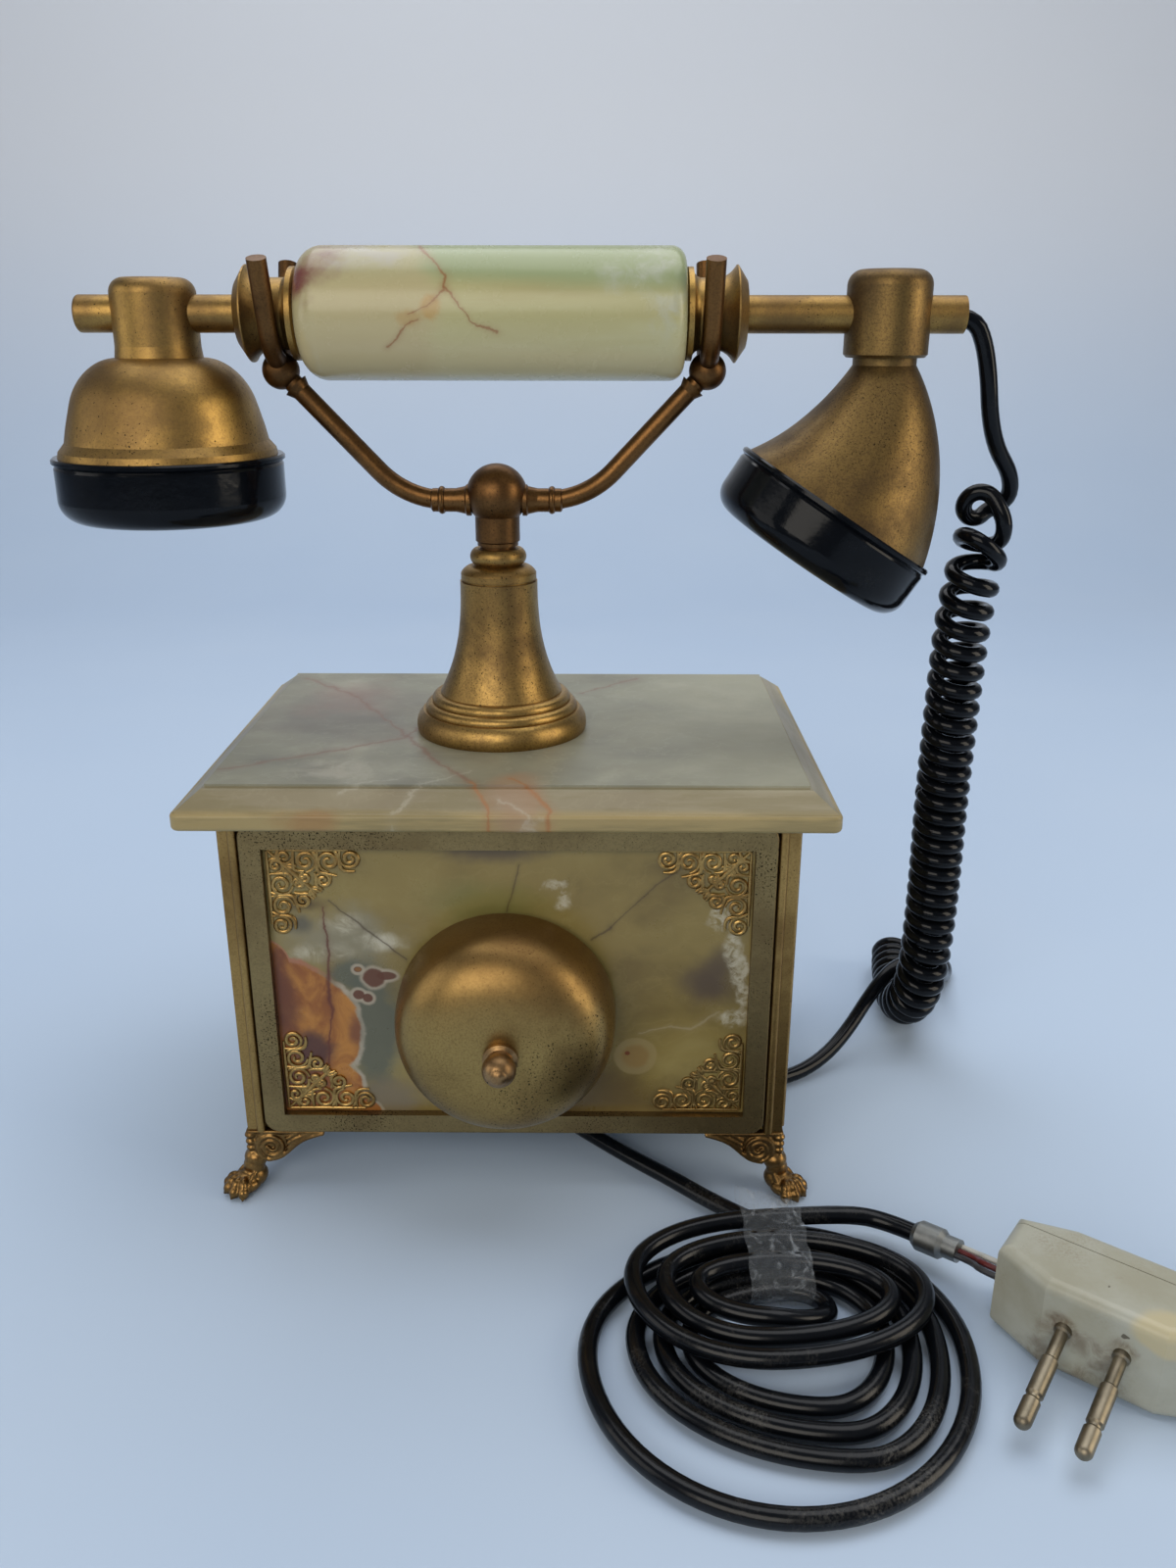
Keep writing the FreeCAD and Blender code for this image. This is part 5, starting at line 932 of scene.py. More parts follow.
def onyx_ground_group():
    """Clouded onyx: three colours in drifting bands, and thin pale lines."""
    tree, given = group("onyx_ground", Dark=(0.1, 0.1, 0.05, 1), Middle=(0.2, 0.2, 0.1, 1),
                        Light=(0.4, 0.4, 0.3, 1), Stretch=(20, 20, 20), Lines=0.3)
    at = place(tree) * given["Stretch"]
    at = at + noise(at, 0.7, 2.0, out="Color") * (0.9, 0.9, 0.9)
    cloud = noise(at, 1.0, 7.0, 0.52)
    color = mixed(ramp(cloud, 0.3, 0.52), given["Dark"], given["Middle"])
    color = mixed(ramp(cloud, 0.5, 0.72), color, given["Light"])
    fine = worked("ABSOLUTE", noise(at, 2.3, 4.0, 0.55) - 0.5)
    line = (1 - ramp(fine, 0.0, 0.02)) * given["Lines"]
    return shows(tree, Color=mixed(line, color, given["Light"]))


CRACK = crack_group()
BLOTCH = blotch_group()
TARNISH = tarnish_group()
DUST = dust_group()
ONYX = onyx_ground_group()


# Finishes of metal, rubber and plastic

def material(name):
    made = bpy.data.materials.new(name)
    made.use_nodes = True
    return made, made.node_tree


def finish(made, **sockets):
    """The material with its shader's sockets linked or set."""
    give_named(made.node_tree, made.node_tree.nodes["Principled BSDF"].inputs, sockets)
    return made


def old_brass(name, height=0.15, **look):
    made, tree = material(name)
    metal = use(tree, TARNISH, **look)
    return finish(made, Metallic=1.0, Base_Color=metal["Color"], Roughness=metal["Roughness"],
                  Normal=bumped(metal["Height"], height, 0.0002))


def gong_brass():
    """Brass of the gong: darker brown towards its top, a painted shade of the dome's upper part."""
    made, tree = material("brass_gong")
    metal = use(tree, TARNISH, Bright=(0.38, 0.255, 0.088), Brown=(0.15, 0.09, 0.035), Patches=0.6,
                Specks=0.8, Speck_Size=1900.0, Smooth=0.32, Dull=0.5)
    # Painted shade: the dome is made darker and browner, and a little rougher, towards its top.
    painted_top_shade = ramp(axis(place(tree), "Z"), 0.058, 0.09) * 0.6
    return finish(made, Metallic=1.0, Base_Color=mixed(painted_top_shade, metal["Color"], (0.19, 0.10, 0.035)),
                  Roughness=metal["Roughness"] + painted_top_shade * 0.12, Normal=bumped(metal["Height"], 0.15, 0.0002))


def black_sheath(name, dust, size, smooth, ior=1.33):
    made, tree = material(name)
    grey = use(tree, DUST, Amount=dust, Size=size, Upward=0.35)["Mask"]
    at = place(tree)
    black = mixed(noise(at, 300.0), (0.0015, 0.002, 0.003), (0.004, 0.005, 0.007))
    return finish(made, IOR=ior, Base_Color=mixed(grey, black, (0.22, 0.21, 0.19)),
                  Roughness=smooth + grey * 0.5 + noise(at, 120.0, 5.0) * 0.1,
                  Normal=bumped(noise(at, 500.0), 0.12, 0.0003))


def plain_metal(name, color, smooth):
    made, tree = material(name)
    at = place(tree)
    dark = tuple(c * 0.55 for c in color)
    worn = ramp(noise(at, 140.0, 6.0), 0.4, 0.7)
    return finish(made, Metallic=1.0, Base_Color=mixed(worn, color, dark),
                  Roughness=smooth + noise(at, 300.0) * 0.2)


def moulded(name, color, dirt, smooth, amount):
    """Plastic with dirt in patches and hollows."""
    made, tree = material(name)
    at = place(tree)
    patch = ramp(noise(at, 55.0, 7.0, 0.65), 0.42, 0.72)
    mask = (largest(patch, ramp(hollows(tree, 0.005), 0.25, 0.8)) * amount).held()
    return finish(made, IOR=1.48, Base_Color=mixed(mask, color, dirt), Roughness=smooth + mask * 0.3,
                  Normal=bumped(noise(at, 600.0), 0.1, 0.0003))


def tape_film():
    made, tree = material("tape_film")
    crease = noise(place(tree) * (260, 140, 260), 1.0, 5.0, 0.6, 1.5)
    return finish(made, Base_Color=(0.62, 0.68, 0.74), Roughness=0.16, IOR=1.45,
                  Alpha=ramp(crease, 0.52, 0.8) * 0.24 + 0.04, Normal=bumped(crease, 0.6, 0.0008))


# Finishes of stone and ivory, with patches and cracks in millimetres

def patched(color, tint, centre, radius, soft=0.8, strength=0.8, ragged=0.6, grain=60.0, feather=0.0):
    """The colour with a ragged patch over it; feather is the scale of the gaps in it, if it has any."""
    tree = color.tree
    field = use(tree, BLOTCH, Centre=mm(*centre), Radius=mm(*radius), Ragged=ragged, Grain=grain)["Field"]
    mask = ramp(field, 0.0, soft) * strength
    if feather:
        mask = mask * ramp(noise(place(tree), feather, 6.0, 0.65, 0.8), 0.34, 0.62)
    return mixed(mask, color, tint)


def stained(color, y, deep, patches):
    """The colour with patches on an upright face: tint, x, z, half sizes and the patch's own look."""
    for tint, x, z, across, up, *look in patches:
        color = patched(color, tint, (x, y, z), (across, deep, up), *look)
    return color


def cracked(color, tint, points, width, strength, wobble, across=(1, 0, 1)):
    """The colour with a crack through these points."""
    parts = [use(color.tree, CRACK, Start=mm(*a), End=mm(*b), Width=width * MM, Wobble=2.5 * wobble * MM,
                 Across=across)
             for a, b in zip(points, points[1:])]
    color = mixed(largest(*(part["Halo"] for part in parts)) * (0.35 * strength), color, tint)
    return mixed(largest(*(part["Mask"] for part in parts)) * strength, color, tint)


def fissured(color, y, cracks):
    """The colour with cracks in an upright face: tint, points by x and z, width, strength and wobble."""
    for tint, points, *look in cracks:
        color = cracked(color, tint, [(x, y, z) for x, z in points], *look)
    return color


def polished(made, color, smooth, coat):
    """The stone's material with its colour and an uneven polish."""
    at = place(made.node_tree)
    return finish(made, Base_Color=color, Roughness=smooth + noise(at, 90.0, 6.0, 0.65) * 0.14, IOR=1.45,
                  Coat_Weight=coat, Coat_Roughness=0.15, Normal=bumped(noise(at, 260.0, 5.0), 0.05, 0.0004))


SLAB_BEVEL_Z = (0.1258, 0.1282)
SLAB_EDGE_Z = (0.1215, 0.1232)
SLAB_CLOUDS = (
    ((0.17, 0.15, 0.13), (-55, 10, 127), (42, 52, 40), 0.9, 0.6, 0.7, 45.0),
    ((0.25, 0.15, 0.12), (-56, 26, 127), (22, 26, 40), 0.9, 0.5, 0.9, 55.0),
    ((0.44, 0.41, 0.33), (-46, -46, 127), (26, 12, 40), 0.8, 0.6, 0.9, 60.0, 70.0),
)
SLAB_STAINS = (
    ((0.30, 0.15, 0.05), (-50, -66, 120), (12, 8, 5), 0.8, 0.55, 0.9, 80.0),
    ((0.33, 0.20, 0.12), (3, -58, 125), (10, 14, 30), 0.6, 0.6, 0.4, 70.0),
)
SLAB_PALE = (0.50, 0.47, 0.38)
SLAB_VEIN = (0.20, 0.095, 0.06)
SLAB_ORANGE = (0.33, 0.14, 0.045)
SLAB_CRACKS = (
    (SLAB_PALE, ((-29.4, -63.4), (-20.3, -53.8), (-10.6, -45.9)), 0.8, 0.3, 2.5),
    (SLAB_PALE, ((-2, -60), (12, -66)), 0.8, 0.3, 2.5),
    (SLAB_PALE, ((-44, -58), (-30, -52)), 0.8, 0.3, 2.5),
    (SLAB_VEIN, ((-79.1, -44.8), (-55.5, -31.2), (-33.3, -16.7), (-29, -6)), 1.3, 0.6, 2.2),
    (SLAB_VEIN, ((-75.4, 49.7), (-54.9, 27.8), (-34.3, -10.3), (-21.2, -36.7), (-9.7, -54.7)),
     1.3, 0.65, 2.2),
    (SLAB_ORANGE, ((-9.7, -54.7), (-5, -61), (-4.4, -67)), 0.9, 0.8, 1.2),
    (SLAB_ORANGE, ((0.5, -51.2), (8, -58.6), (11.4, -62.4), (10.6, -67)), 0.9, 0.8, 1.2),
    (SLAB_VEIN, ((18, 31.2), (37.5, 50.8)), 1.1, 0.6, 2.0),
)


def onyx_slab():
    """The top slab: smoky at the left, with brown veins and a layered bevel and edge."""
    made, tree = material("onyx_slab")
    at = place(tree)
    color = use(tree, ONYX, Dark=(0.155, 0.155, 0.118), Middle=(0.235, 0.235, 0.172),
                Light=(0.36, 0.355, 0.265), Stretch=(30, 38, 60), Lines=0.3)["Color"]
    color = mixed(ramp(axis(at, "X"), -0.01, 0.09) * 0.5, color, (0.42, 0.415, 0.30))
    for cloud in SLAB_CLOUDS:
        color = patched(color, *cloud)
    bevel = 1 - ramp(axis(at, "Z"), *SLAB_BEVEL_Z)
    edge = 1 - ramp(axis(at, "Z"), *SLAB_EDGE_Z)
    layers = ramp(noise(at * (26, 26, 330), 1.0, 5.0, 0.6), 0.44, 0.62) * bevel * 0.55
    color = mixed(bevel * 0.55, color, (0.27, 0.20, 0.10))
    color = mixed(edge * 0.65, color, (0.38, 0.28, 0.10))
    color = mixed(layers, color, (0.20, 0.165, 0.075))
    for stain in SLAB_STAINS:
        color = patched(color, *stain)
    for tint, points, *look in SLAB_CRACKS:
        color = cracked(color, tint, [(x, y, 0) for x, y in points], *look, (1, 1, 0))
    dust = use(tree, DUST, Amount=0.5, Size=30.0, Upward=0.9)["Mask"]
    return polished(made, mixed(dust * 0.5, color, (0.20, 0.15, 0.09)), 0.3, 0.0)


def onyx_panel():
    """Sides and back."""
    made, tree = material("onyx_panel")
    color = use(tree, ONYX, Dark=(0.15, 0.105, 0.035), Middle=(0.29, 0.225, 0.075), Light=(0.45, 0.39, 0.19),
                Stretch=(20, 20, 30), Lines=0.2)["Color"]
    color = patched(color, (0.26, 0.09, 0.03), (0, 30, 45), (90, 14, 16), 0.4, 0.7, 0.9)
    color = patched(color, (0.24, 0.085, 0.03), (56, 54.8, 78), (12, 90, 16), 0.4, 0.7, 0.9)
    return polished(made, color, 0.22, 0.05)


FRONT_Y = -54.8
FRONT_DEEP = 90
FRONT_BROWN = (0.10, 0.065, 0.025)
FRONT_SMOKE = (0.085, 0.06, 0.042)
FRONT_WHITE = (0.52, 0.48, 0.36)
FRONT_GREEN = (0.105, 0.115, 0.085)
FRONT_PATCHES = (
    ((0.16, 0.17, 0.05), -6, 93, 26, 9, 0.8, 0.5),
    (FRONT_BROWN, 30, 30, 50, 15, 0.8, 0.75, 0.9, 45.0),
    (FRONT_SMOKE, -3, 108, 18, 5, 0.8, 0.75),
    ((0.25, 0.23, 0.155), -49, 82, 23, 13, 0.8, 0.85),
    (FRONT_BROWN, -56, 92, 9, 3.5),
    ((0.09, 0.085, 0.065), -57.5, 86, 5.5, 5, 0.8, 0.75),
    (FRONT_WHITE, -45.5, 86.5, 9, 4, 0.9, 0.75, 0.9, 90.0, 160.0),
    ((0.60, 0.57, 0.45), -36, 80.5, 8, 5, 0.9, 0.85, 0.8, 90.0, 130.0),
    (FRONT_WHITE, -52, 77, 12, 4.2, 0.9, 0.8, 0.8, 90.0, 120.0),
    (FRONT_GREEN, -40, 54, 11, 22, 0.5, 0.9, 0.5),
    (FRONT_GREEN, -46, 70, 7, 6, 0.6, 0.85, 0.5),
    ((0.19, 0.155, 0.105), -36, 29, 14, 9),
    (FRONT_SMOKE, 56, 67.5, 12, 10, 0.9, 0.9, 0.5, 45.0),
    (FRONT_SMOKE, 58.5, 75, 6, 9, 0.9, 0.7, 0.5, 45.0),
    (FRONT_WHITE, 58.5, 88, 4, 5, 0.7, 0.85, 1.0, 140.0, 330.0),
    (FRONT_WHITE, 61.5, 80, 4, 7, 0.7, 0.85, 1.0, 140.0, 330.0),
    (FRONT_WHITE, 64, 72, 3.4, 7, 0.7, 0.85, 1.0, 140.0, 330.0),
    (FRONT_WHITE, 62, 57, 6, 4, 0.7, 0.85, 1.0, 140.0, 330.0),
    (FRONT_WHITE, 65, 64, 2.4, 4, 0.7, 0.85, 1.0, 140.0, 330.0),
    (FRONT_WHITE, 12, 98, 4.6, 2.2, 0.8, 0.85, 1.0, 200.0, 420.0),
    (FRONT_WHITE, 14.6, 93.4, 3, 3.6, 0.8, 0.85, 1.0, 200.0, 420.0),
)
FRONT_PALE_CRACK = ((0.36, 0.30, 0.18), ((35.9, 51.9), (45, 53.9), (50.7, 53.3), (55.1, 56.6), (58.4, 58.9)),
                    0.6, 0.5, 0.8)
FRONT_EYE = (
    ((0.34, 0.265, 0.125), 35.1, 44.4, 6.6, 6.4, 0.12, 0.5, 0.12),
    ((0.25, 0.155, 0.05), 35.1, 44.4, 4.8, 4.6, 0.4, 0.75, 0.3),
    ((0.16, 0.04, 0.015), 32.8, 45.3, 0.9, 0.8, 0.4, 0.9, 0.3),
)
RUST_LOBES = ((-66, 52, 23, 22), (-68.5, 72, 6.5, 9), (-60, 34, 16.5, 12), (-52, 24, 14, 7.5))
RUST_RIM_Z = (0.066, 0.072)
RUST_SHADES = (
    ((0.14, 0.045, 0.02), -66.5, 64, 9.5, 19, 0.7, 0.9, 0.8, 70.0),
    ((0.075, 0.032, 0.028), -57, 45, 8, 8, 0.7, 0.9, 0.7, 80.0),
    ((0.10, 0.04, 0.026), -63, 33, 10, 9, 0.8, 0.8, 0.8, 80.0),
    ((0.15, 0.05, 0.028), -44, 52, 3.4, 8, 0.8, 0.8, 0.7, 90.0),
)
SPOTS = ((-38.6, 69.2, 3.5, 3.3), (-35, 69.9, 3.2, 1.5), (-43, 71.9, 1.3, 1.0), (-43.1, 63.9, 1.8, 1.7),
         (-40.7, 62.9, 1.6, 1.6))
SPOT_RIM = 1.1
FRONT_THIN = (0.07, 0.045, 0.02)
FRONT_CRACKS = (
    ((0.11, 0.028, 0.016),
     ((-51.5, 90.8), (-51.1, 82.6), (-50.6, 77.6), (-51.1, 72), (-51.8, 64.4), (-50.7, 59.3), (-51.6, 54.1),
      (-52.6, 47.5), (-53.3, 41.6)), 0.9, 0.9, 1.0),
    (FRONT_THIN, ((-49.7, 93), (-40.6, 84.8), (-29.3, 75.2)), 0.4, 0.8, 0.7),
    (FRONT_THIN, ((45.5, 102.3), (38.5, 96.4), (27.7, 85.4)), 0.4, 0.75, 0.7),
    (FRONT_THIN, ((27.7, 85.4), (22.7, 81.4)), 0.8, 0.8, 0.7),
    (FRONT_THIN, ((2.9, 103.9), (1.1, 96.8), (-0.7, 90.2)), 0.35, 0.7, 0.7),
)


def rusted(color):
    """The front panel's colour with its rust patch: a pale uneven rim, then swirls of orange and brown."""
    tree = color.tree
    at = place(tree)
    lobes = []
    for x, z, across, up in RUST_LOBES:
        lobe = use(tree, BLOTCH, Centre=mm(x, FRONT_Y, z), Radius=mm(across, FRONT_DEEP, up), Ragged=0.13,
                   Grain=85.0)
        lobes.append(lobe["Field"])
    field = largest(*lobes)
    rim = mixed(ramp(axis(at, "Z"), *RUST_RIM_Z), (0.44, 0.38, 0.29), (0.38, 0.15, 0.085))
    uneven = ramp(noise(at, 130.0), 0.35, 0.65) * 0.5 + 0.4
    color = mixed(ramp(field, -0.075, -0.015) * uneven, color, rim)
    swirl = noise(at * (90, 60, 70), 1.0, 7.0, 0.62, 1.0)
    rust = mixed(ramp(swirl, 0.36, 0.66), (0.27, 0.093, 0.02), (0.47, 0.205, 0.04))
    rust = stained(rust, FRONT_Y, FRONT_DEEP, RUST_SHADES)
    return mixed(ramp(field, 0.0, 0.05), color, rust)


def onyx_front():
    """The panel behind the gong, with its rust patch, spots, cracks and crystals."""
    made, tree = material("onyx_front")
    color = use(tree, ONYX, Dark=(0.16, 0.115, 0.035), Middle=(0.245, 0.185, 0.058),
                Light=(0.34, 0.275, 0.105), Stretch=(26, 26, 34), Lines=0.12)["Color"]
    color = stained(color, FRONT_Y, FRONT_DEEP, FRONT_PATCHES)
    color = fissured(color, FRONT_Y, (FRONT_PALE_CRACK,))
    color = stained(color, FRONT_Y, FRONT_DEEP, FRONT_EYE)
    color = rusted(color)
    rims = [((0.41, 0.35, 0.26), x, z, across + SPOT_RIM, up + SPOT_RIM, 0.3, 0.85, 0.2, 150.0)
            for x, z, across, up in SPOTS]
    spots = [((0.12, 0.042, 0.018), *spot, 0.25, 0.95, 0.25, 150.0) for spot in SPOTS]
    spots.append(((0.26, 0.12, 0.03), -42.9, 71.9, 1.2, 0.8, 0.5, 0.8, 0.3))
    color = stained(color, FRONT_Y, FRONT_DEEP, rims + spots)
    color = fissured(color, FRONT_Y, FRONT_CRACKS)
    return polished(made, color, 0.22, 0.05)


HANDLE_Y = -4.6
HANDLE_DEEP = 60
HANDLE_GREEN_Z = (0.247, 0.257)
HANDLE_CREAM_Z = (0.231, 0.244)
HANDLE_TAN_X = (-0.024, -0.016)
HANDLE_PATCHES = (
    ((0.42, 0.40, 0.34), -38, 259, 18, 4.5, 0.8, 0.8, 0.9, 90.0, 110.0),
    ((0.46, 0.48, 0.40), 35, 255, 13, 9, 0.9, 0.85, 1.0, 80.0, 150.0),
    ((0.47, 0.48, 0.38), 43, 246, 8, 12, 0.9, 0.75, 1.0, 80.0, 150.0),
    ((0.23, 0.12, 0.10), -48, 256, 14, 7.5, 0.9, 0.85, 0.9, 80.0),
    ((0.17, 0.045, 0.04), -55, 251.5, 8, 8, 0.8, 0.95, 0.9, 90.0),
    ((0.46, 0.29, 0.10), -19.5, 246.5, 4, 4.5, 0.6, 0.75, 0.9, 110.0),
    ((0.44, 0.29, 0.11), -25, 243.5, 5, 2.4, 0.6, 0.6, 0.9, 110.0),
)
HANDLE_RUST = (0.26, 0.11, 0.04)
HANDLE_CRACKS = (
    (HANDLE_RUST, ((-23.3, 260.8), (-19.2, 257.2), (-15.6, 253.4), (-16, 250.8)), 0.7, 0.85, 1.3),
    (HANDLE_RUST, ((-16, 250.1), (-20.4, 246.8), (-25.4, 244.2)), 0.6, 0.85, 1.3),
    (HANDLE_RUST, ((-15.7, 250.8), (-9.3, 242.9), (-2.3, 239.6)), 0.6, 0.85, 1.3),
    (HANDLE_RUST, ((-23.4, 242.9), (-28.5, 238.9), (-31.8, 236.2)), 0.55, 0.85, 1.3),
)


def onyx_handle():
    """The handset's handle: green above, cream below, tan and dark patches at the left."""
    made, tree = material("onyx_handle")
    at = place(tree)
    color = use(tree, ONYX, Dark=(0.40, 0.35, 0.16), Middle=(0.44, 0.41, 0.20), Light=(0.50, 0.50, 0.29),
                Stretch=(9, 60, 75), Lines=0.1)["Color"]
    drift = (noise(at * (12, 60, 60), 1.0, 5.0) - 0.5) * 0.02
    height = axis(at, "Z") + drift
    color = mixed(ramp(height, *HANDLE_GREEN_Z) * 0.8, color, (0.26, 0.33, 0.175))
    color = mixed((1 - ramp(height, *HANDLE_CREAM_Z)) * 0.75, color, (0.56, 0.49, 0.30))
    left = 1 - ramp(axis(at, "X") + drift, *HANDLE_TAN_X)
    color = mixed(left * 0.6, color, (0.47, 0.385, 0.215))
    color = stained(color, HANDLE_Y, HANDLE_DEEP, HANDLE_PATCHES)
    color = fissured(color, HANDLE_Y, HANDLE_CRACKS)
    return polished(made, color, 0.2, 0.05)


PLUG_SHOULDER = ((0.52, 0.45, 0.26), (156.5, -141.5, 23), (11, 11, 6), 0.3, 0.75, 0.2)
PLUG_DIRT_COLOR = (0.13, 0.085, 0.045)
PLUG_DIRT = (
    ((142.1, -130.7, 12), (15, 15, 6), 0.6),
    ((136.8, -126.7, 15), (4.5, 4.5, 4.5), 0.85),
    ((147.8, -135.0, 15), (4.5, 4.5, 4.5), 0.85),
    ((142.1, -130.7, 2), (26, 22, 7), 0.65),
)


def plug_moulding():
    """Ivory moulding: brown dirt round the pins and below them, yellowed at its shoulder, dark specks."""
    made, tree = material("plug_moulding")
    at = place(tree)
    color = mixed(ramp(noise(at, 45.0, 6.0, 0.6), 0.35, 0.7), (0.41, 0.415, 0.35), (0.34, 0.33, 0.25))
    color = patched(color, *PLUG_SHOULDER)
    for centre, radius, strength in PLUG_DIRT:
        color = patched(color, PLUG_DIRT_COLOR, centre, radius, 0.8, strength, 0.9, 110.0, 160.0)
    speck = ramp(noise(at, 330.0, 1.0), 0.76, 0.79)
    color = mixed(speck * 0.8, color, (0.05, 0.035, 0.02))
    dust = use(tree, DUST, Amount=0.5, Size=50.0, Upward=0.3)["Mask"]
    return finish(made, IOR=1.46, Base_Color=mixed(dust, color, (0.22, 0.17, 0.10)),
                  Roughness=dust * 0.35 + 0.32, Normal=bumped(noise(at, 600.0), 0.1, 0.0003))


# Stage

FLOOR_HALF_WIDTH = 2.5
FLOOR_FRONT = -1.6
FLOOR_BACK = 0.75
FLOOR_BEND = 0.5
FLOOR_BEND_STEPS = 12
FLOOR_WALL_TOP = 2.2
FLOOR_CLEAR = 0.0002
WORLD_COLOR = (0.62, 0.70, 0.85, 1)
WORLD_STRENGTH = 0.2
LAMPS = (
    ("sky_lamp", (0.1, 0.3, 1.3), (0, 0, 0.1), (1.6, 1.2), 13, (0.97, 0.98, 1.0)),
    ("front_lamp", (-0.45, -1.35, 0.8), (0, 0, 0.14), (1.2, 0.9), 11, (1.0, 0.94, 0.84)),
    ("left_lamp", (-1.2, -0.3, 0.5), (0, 0, 0.12), (0.8, 0.8), 2.5, (1.0, 0.97, 0.92)),
    ("right_lamp", (1.1, -0.35, 0.45), (0, 0, 0.12), (0.5, 0.8), 4.5, (1.0, 0.90, 0.74)),
)


def make_stage():
    """A pale floor that bends up into a wall behind the telephone."""
    made, tree = material("pale_floor")
    at = place(tree)
    color = mixed(noise(at, 6.0, 2.0), (0.46, 0.58, 0.75), (0.51, 0.62, 0.77))
    color = mixed(ramp(axis(at, "Z"), 0.0, FLOOR_BEND), color, (0.74, 0.76, 0.79))
    finish(made, Roughness=0.9, Base_Color=color)
    rows = [(FLOOR_FRONT, 0.0)]
    for k in range(FLOOR_BEND_STEPS + 1):
        angle = math.pi / 2 * k / FLOOR_BEND_STEPS
        rows.append((FLOOR_BACK + FLOOR_BEND * math.sin(angle), FLOOR_BEND * (1 - math.cos(angle))))
    rows.append((FLOOR_BACK + FLOOR_BEND, FLOOR_WALL_TOP))
    vertices = [Vector((x, y, z)) for y, z in rows for x in (-FLOOR_HALF_WIDTH, FLOOR_HALF_WIDTH)]
    faces = [(2 * k, 2 * k + 1, 2 * k + 3, 2 * k + 2) for k in range(len(rows) - 1)]
    floor = mesh_object("floor", vertices, faces, made)
    floor.location.z = -FLOOR_CLEAR


def make_light():
    world = bpy.data.worlds.new("room")
    world.use_nodes = True
    back = world.node_tree.nodes["Background"]
    back.inputs["Color"].default_value = WORLD_COLOR
    back.inputs["Strength"].default_value = WORLD_STRENGTH
    bpy.context.scene.world = world
    for name, at, aim, (width, height), power, color in LAMPS:
        data = bpy.data.lights.new(name, "AREA")
        data.shape = "RECTANGLE"
        data.size = width
        data.size_y = height
        data.energy = power
        data.color = color
        lamp = linked(name, data)
        lamp.location = at
        lamp.rotation_euler = (Vector(aim) - Vector(at)).to_track_quat("-Z", "Y").to_euler()
    bpy.context.scene.view_settings.view_transform = "Standard"


# Assembly

make_camera()
handset_sheath = black_sheath("handset_sheath", 0.04, 70.0, 0.09, 1.28)
line_sheath = black_sheath("line_sheath", 0.3, 38.0, 0.16)
make_handset_cord(handset_sheath)
wires = make_wires((("white", moulded("white_wire", (0.5, 0.5, 0.46), (0.25, 0.22, 0.18), 0.35, 0.5)),
                    ("red", moulded("red_wire", (0.11, 0.012, 0.012), (0.05, 0.02, 0.02), 0.3, 0.5)),
                    ("dark", moulded("dark_wire", (0.02, 0.02, 0.025), (0.08, 0.08, 0.08), 0.3, 0.5))))
tape = make_tape(tape_film())
make_line_cord(line_sheath, wires + [tape] + [nodes[n] for n in ("cord_ferrule", "plug_body", "plug_pins")])

brass_cast = old_brass("brass_cast", 0.3, Bright=(0.27, 0.156, 0.054), Brown=(0.06, 0.03, 0.012), Patches=0.6,
                       Patch_Size=60.0, Specks=0.3, Hollows=1.0, Smooth=0.3, Dull=0.6)
make_feet(brass_cast)
brass_scrolls = old_brass("brass_scrolls", 0.2, Bright=(0.50, 0.32, 0.11), Brown=(0.16, 0.08, 0.025),
                          Patches=0.6, Patch_Size=90.0, Specks=0.3, Hollows=0.35, Smooth=0.3, Dull=0.5)
make_filigree("front_scrollwork", brass_scrolls, "front_filigree")
make_filigree("rear_scrollwork", brass_scrolls, "rear_filigree")
make_dial_numbers(moulded("number_ink", (0.012, 0.012, 0.014), (0.03, 0.03, 0.03), 0.4, 0.5))

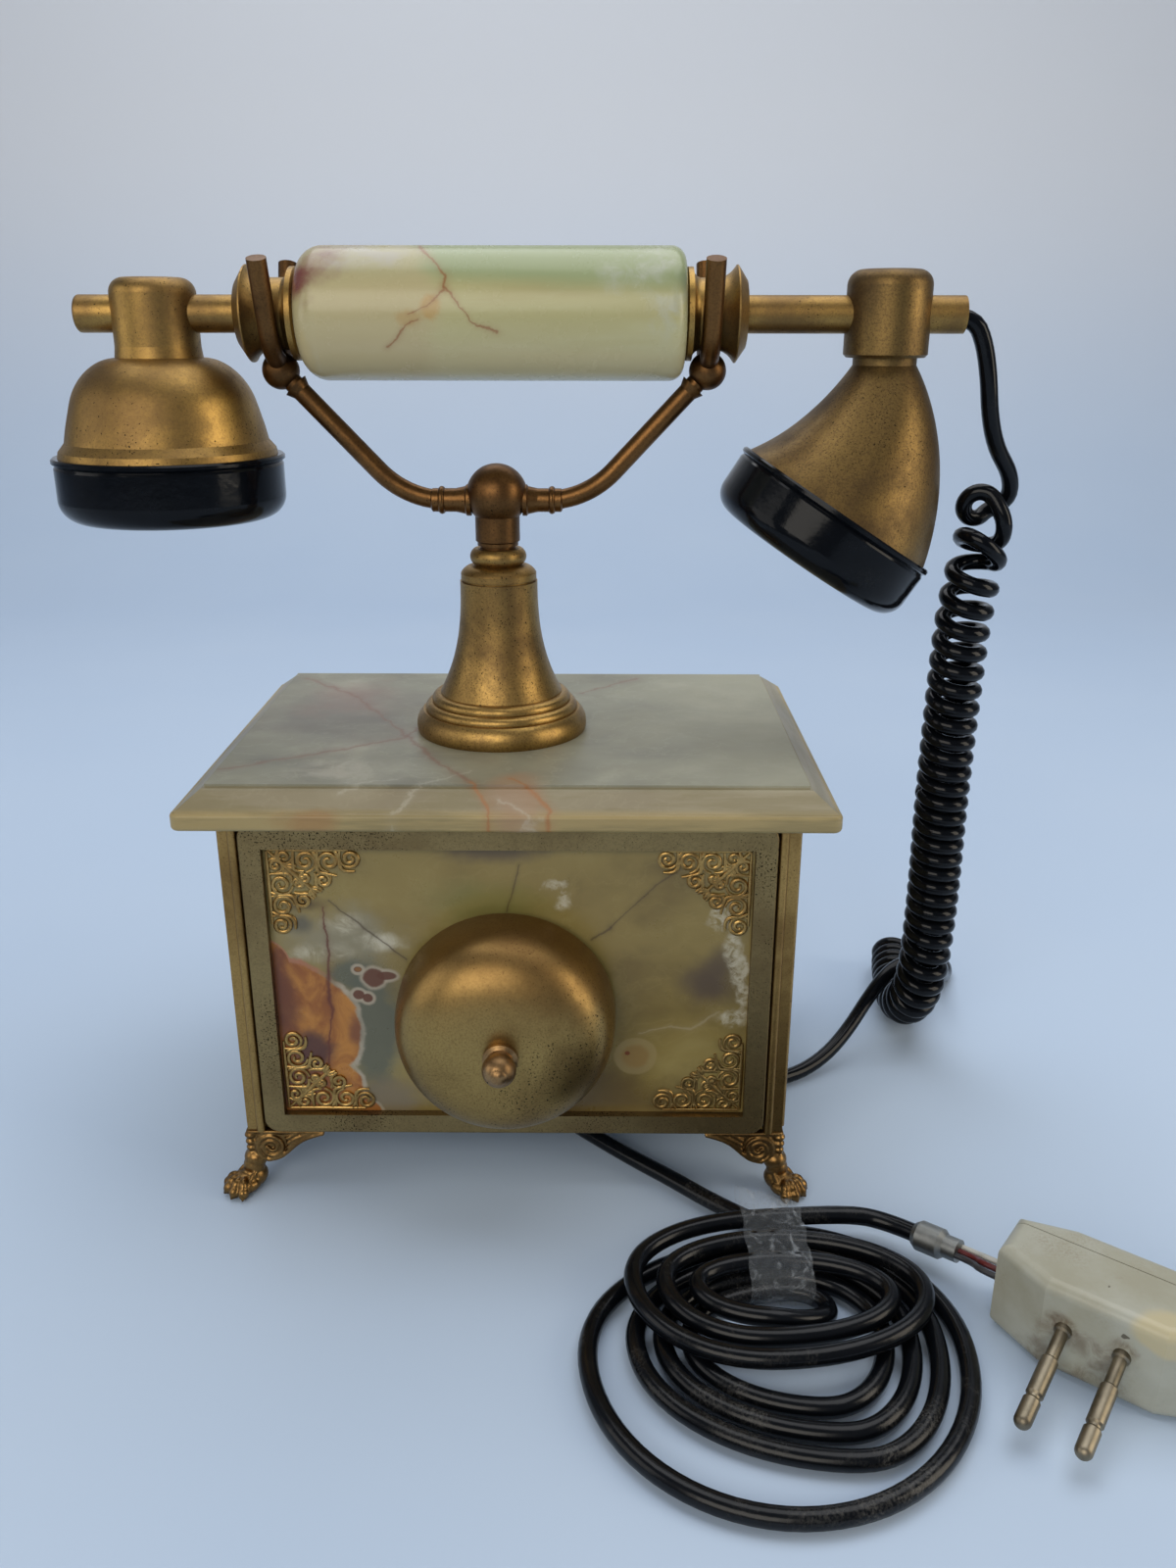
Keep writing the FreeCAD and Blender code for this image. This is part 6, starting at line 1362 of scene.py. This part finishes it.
finishes = {
    "onyx_slab": onyx_slab(),
    "onyx_panel": onyx_panel(),
    "onyx_handle": onyx_handle(),
    "brass_frame": old_brass("brass_frame", 0.3, Bright=(0.29, 0.21, 0.092), Brown=(0.15, 0.105, 0.05),
                             Patches=0.6, Specks=0.95, Speck_Size=1900.0, Spread=0.45, Smooth=0.38,
                             Dull=0.58),
    "brass_cast": brass_cast,
    "brass_turned": old_brass("brass_turned", Bright=(0.43, 0.265, 0.075), Brown=(0.14, 0.085, 0.04),
                              Patches=0.75, Patch_Size=28.0, Specks=0.6, Speck_Size=1500.0, Smooth=0.38,
                              Dull=0.55),
    "brass_gong": gong_brass(),
    "bronze_cradle": old_brass("bronze_cradle", Bright=(0.18, 0.088, 0.03), Brown=(0.05, 0.028, 0.014),
                               Patches=0.8, Specks=0.5, Speck_Size=1500.0, Smooth=0.36, Dull=0.55),
    "steel": plain_metal("steel", (0.30, 0.31, 0.30), 0.35),
    "contacts": plain_metal("contacts", (0.5, 0.48, 0.42), 0.3),
    "winding": plain_metal("winding", (0.45, 0.16, 0.06), 0.4),
    "enamel": moulded("enamel", (0.72, 0.69, 0.58), (0.45, 0.38, 0.25), 0.2, 0.3),
    "bakelite": moulded("bakelite", (0.06, 0.03, 0.015), (0.12, 0.09, 0.06), 0.35, 0.5),
    "capacitor_can": plain_metal("capacitor_can", (0.6, 0.6, 0.58), 0.35),
    "black_cap": black_sheath("black_cap", 0.04, 50.0, 0.08, 1.25),
    "grommet_rubber": black_sheath("grommet_rubber", 0.2, 60.0, 0.4),
    "black_cord": line_sheath,
    "clear_tape": moulded("hidden_tape", (0.6, 0.65, 0.7), (0.5, 0.5, 0.5), 0.2, 0.3),
    "wire_insulation": moulded("hidden_wires", (0.3, 0.1, 0.1), (0.1, 0.1, 0.1), 0.3, 0.3),
    "ivory_plastic": moulded("ivory_plastic", (0.42, 0.415, 0.34), (0.20, 0.15, 0.085), 0.35, 0.7),
    "pin_brass": plain_metal("pin_brass", (0.25, 0.215, 0.155), 0.34),
}
own_finish = {
    "front_panel": onyx_front(),
    "corner_posts": old_brass("brass_posts", Bright=(0.40, 0.25, 0.085), Brown=(0.15, 0.085, 0.03),
                              Patches=0.7, Specks=0.5, Speck_Size=1500.0, Smooth=0.3, Dull=0.5),
    # The horn's own copy of turned brass, made darker: painted shade of its flanks, with more patina as well.
    "mouth_horn": old_brass("brass_horn", Bright=(0.25, 0.158, 0.054), Brown=(0.07, 0.045, 0.025),
                            Patches=0.9, Patch_Size=24.0, Specks=0.6, Speck_Size=1900.0, Smooth=0.4,
                            Dull=0.58, Grain=0.6),
    # The pedestal's own copy of turned brass, made brighter: a painted highlight, with more patina as well.
    "pedestal": old_brass("brass_pedestal", Bright=(0.45, 0.28, 0.086), Brown=(0.12, 0.074, 0.034),
                          Patches=0.85, Patch_Size=30.0, Specks=0.6, Speck_Size=1900.0, Smooth=0.36,
                          Dull=0.55, Grain=0.55),
    "plug_body": plug_moulding(),
    "gong_nut": old_brass("copper_nut", Bright=(0.36, 0.22, 0.10), Brown=(0.14, 0.08, 0.035), Patches=0.7,
                          Patch_Size=120.0, Smooth=0.3, Dull=0.5),
}
for name, obj in nodes.items():
    obj.data.materials.clear()
    obj.data.materials.append(own_finish.get(name) or finishes[slot_of[name]])

make_stage()
make_light()
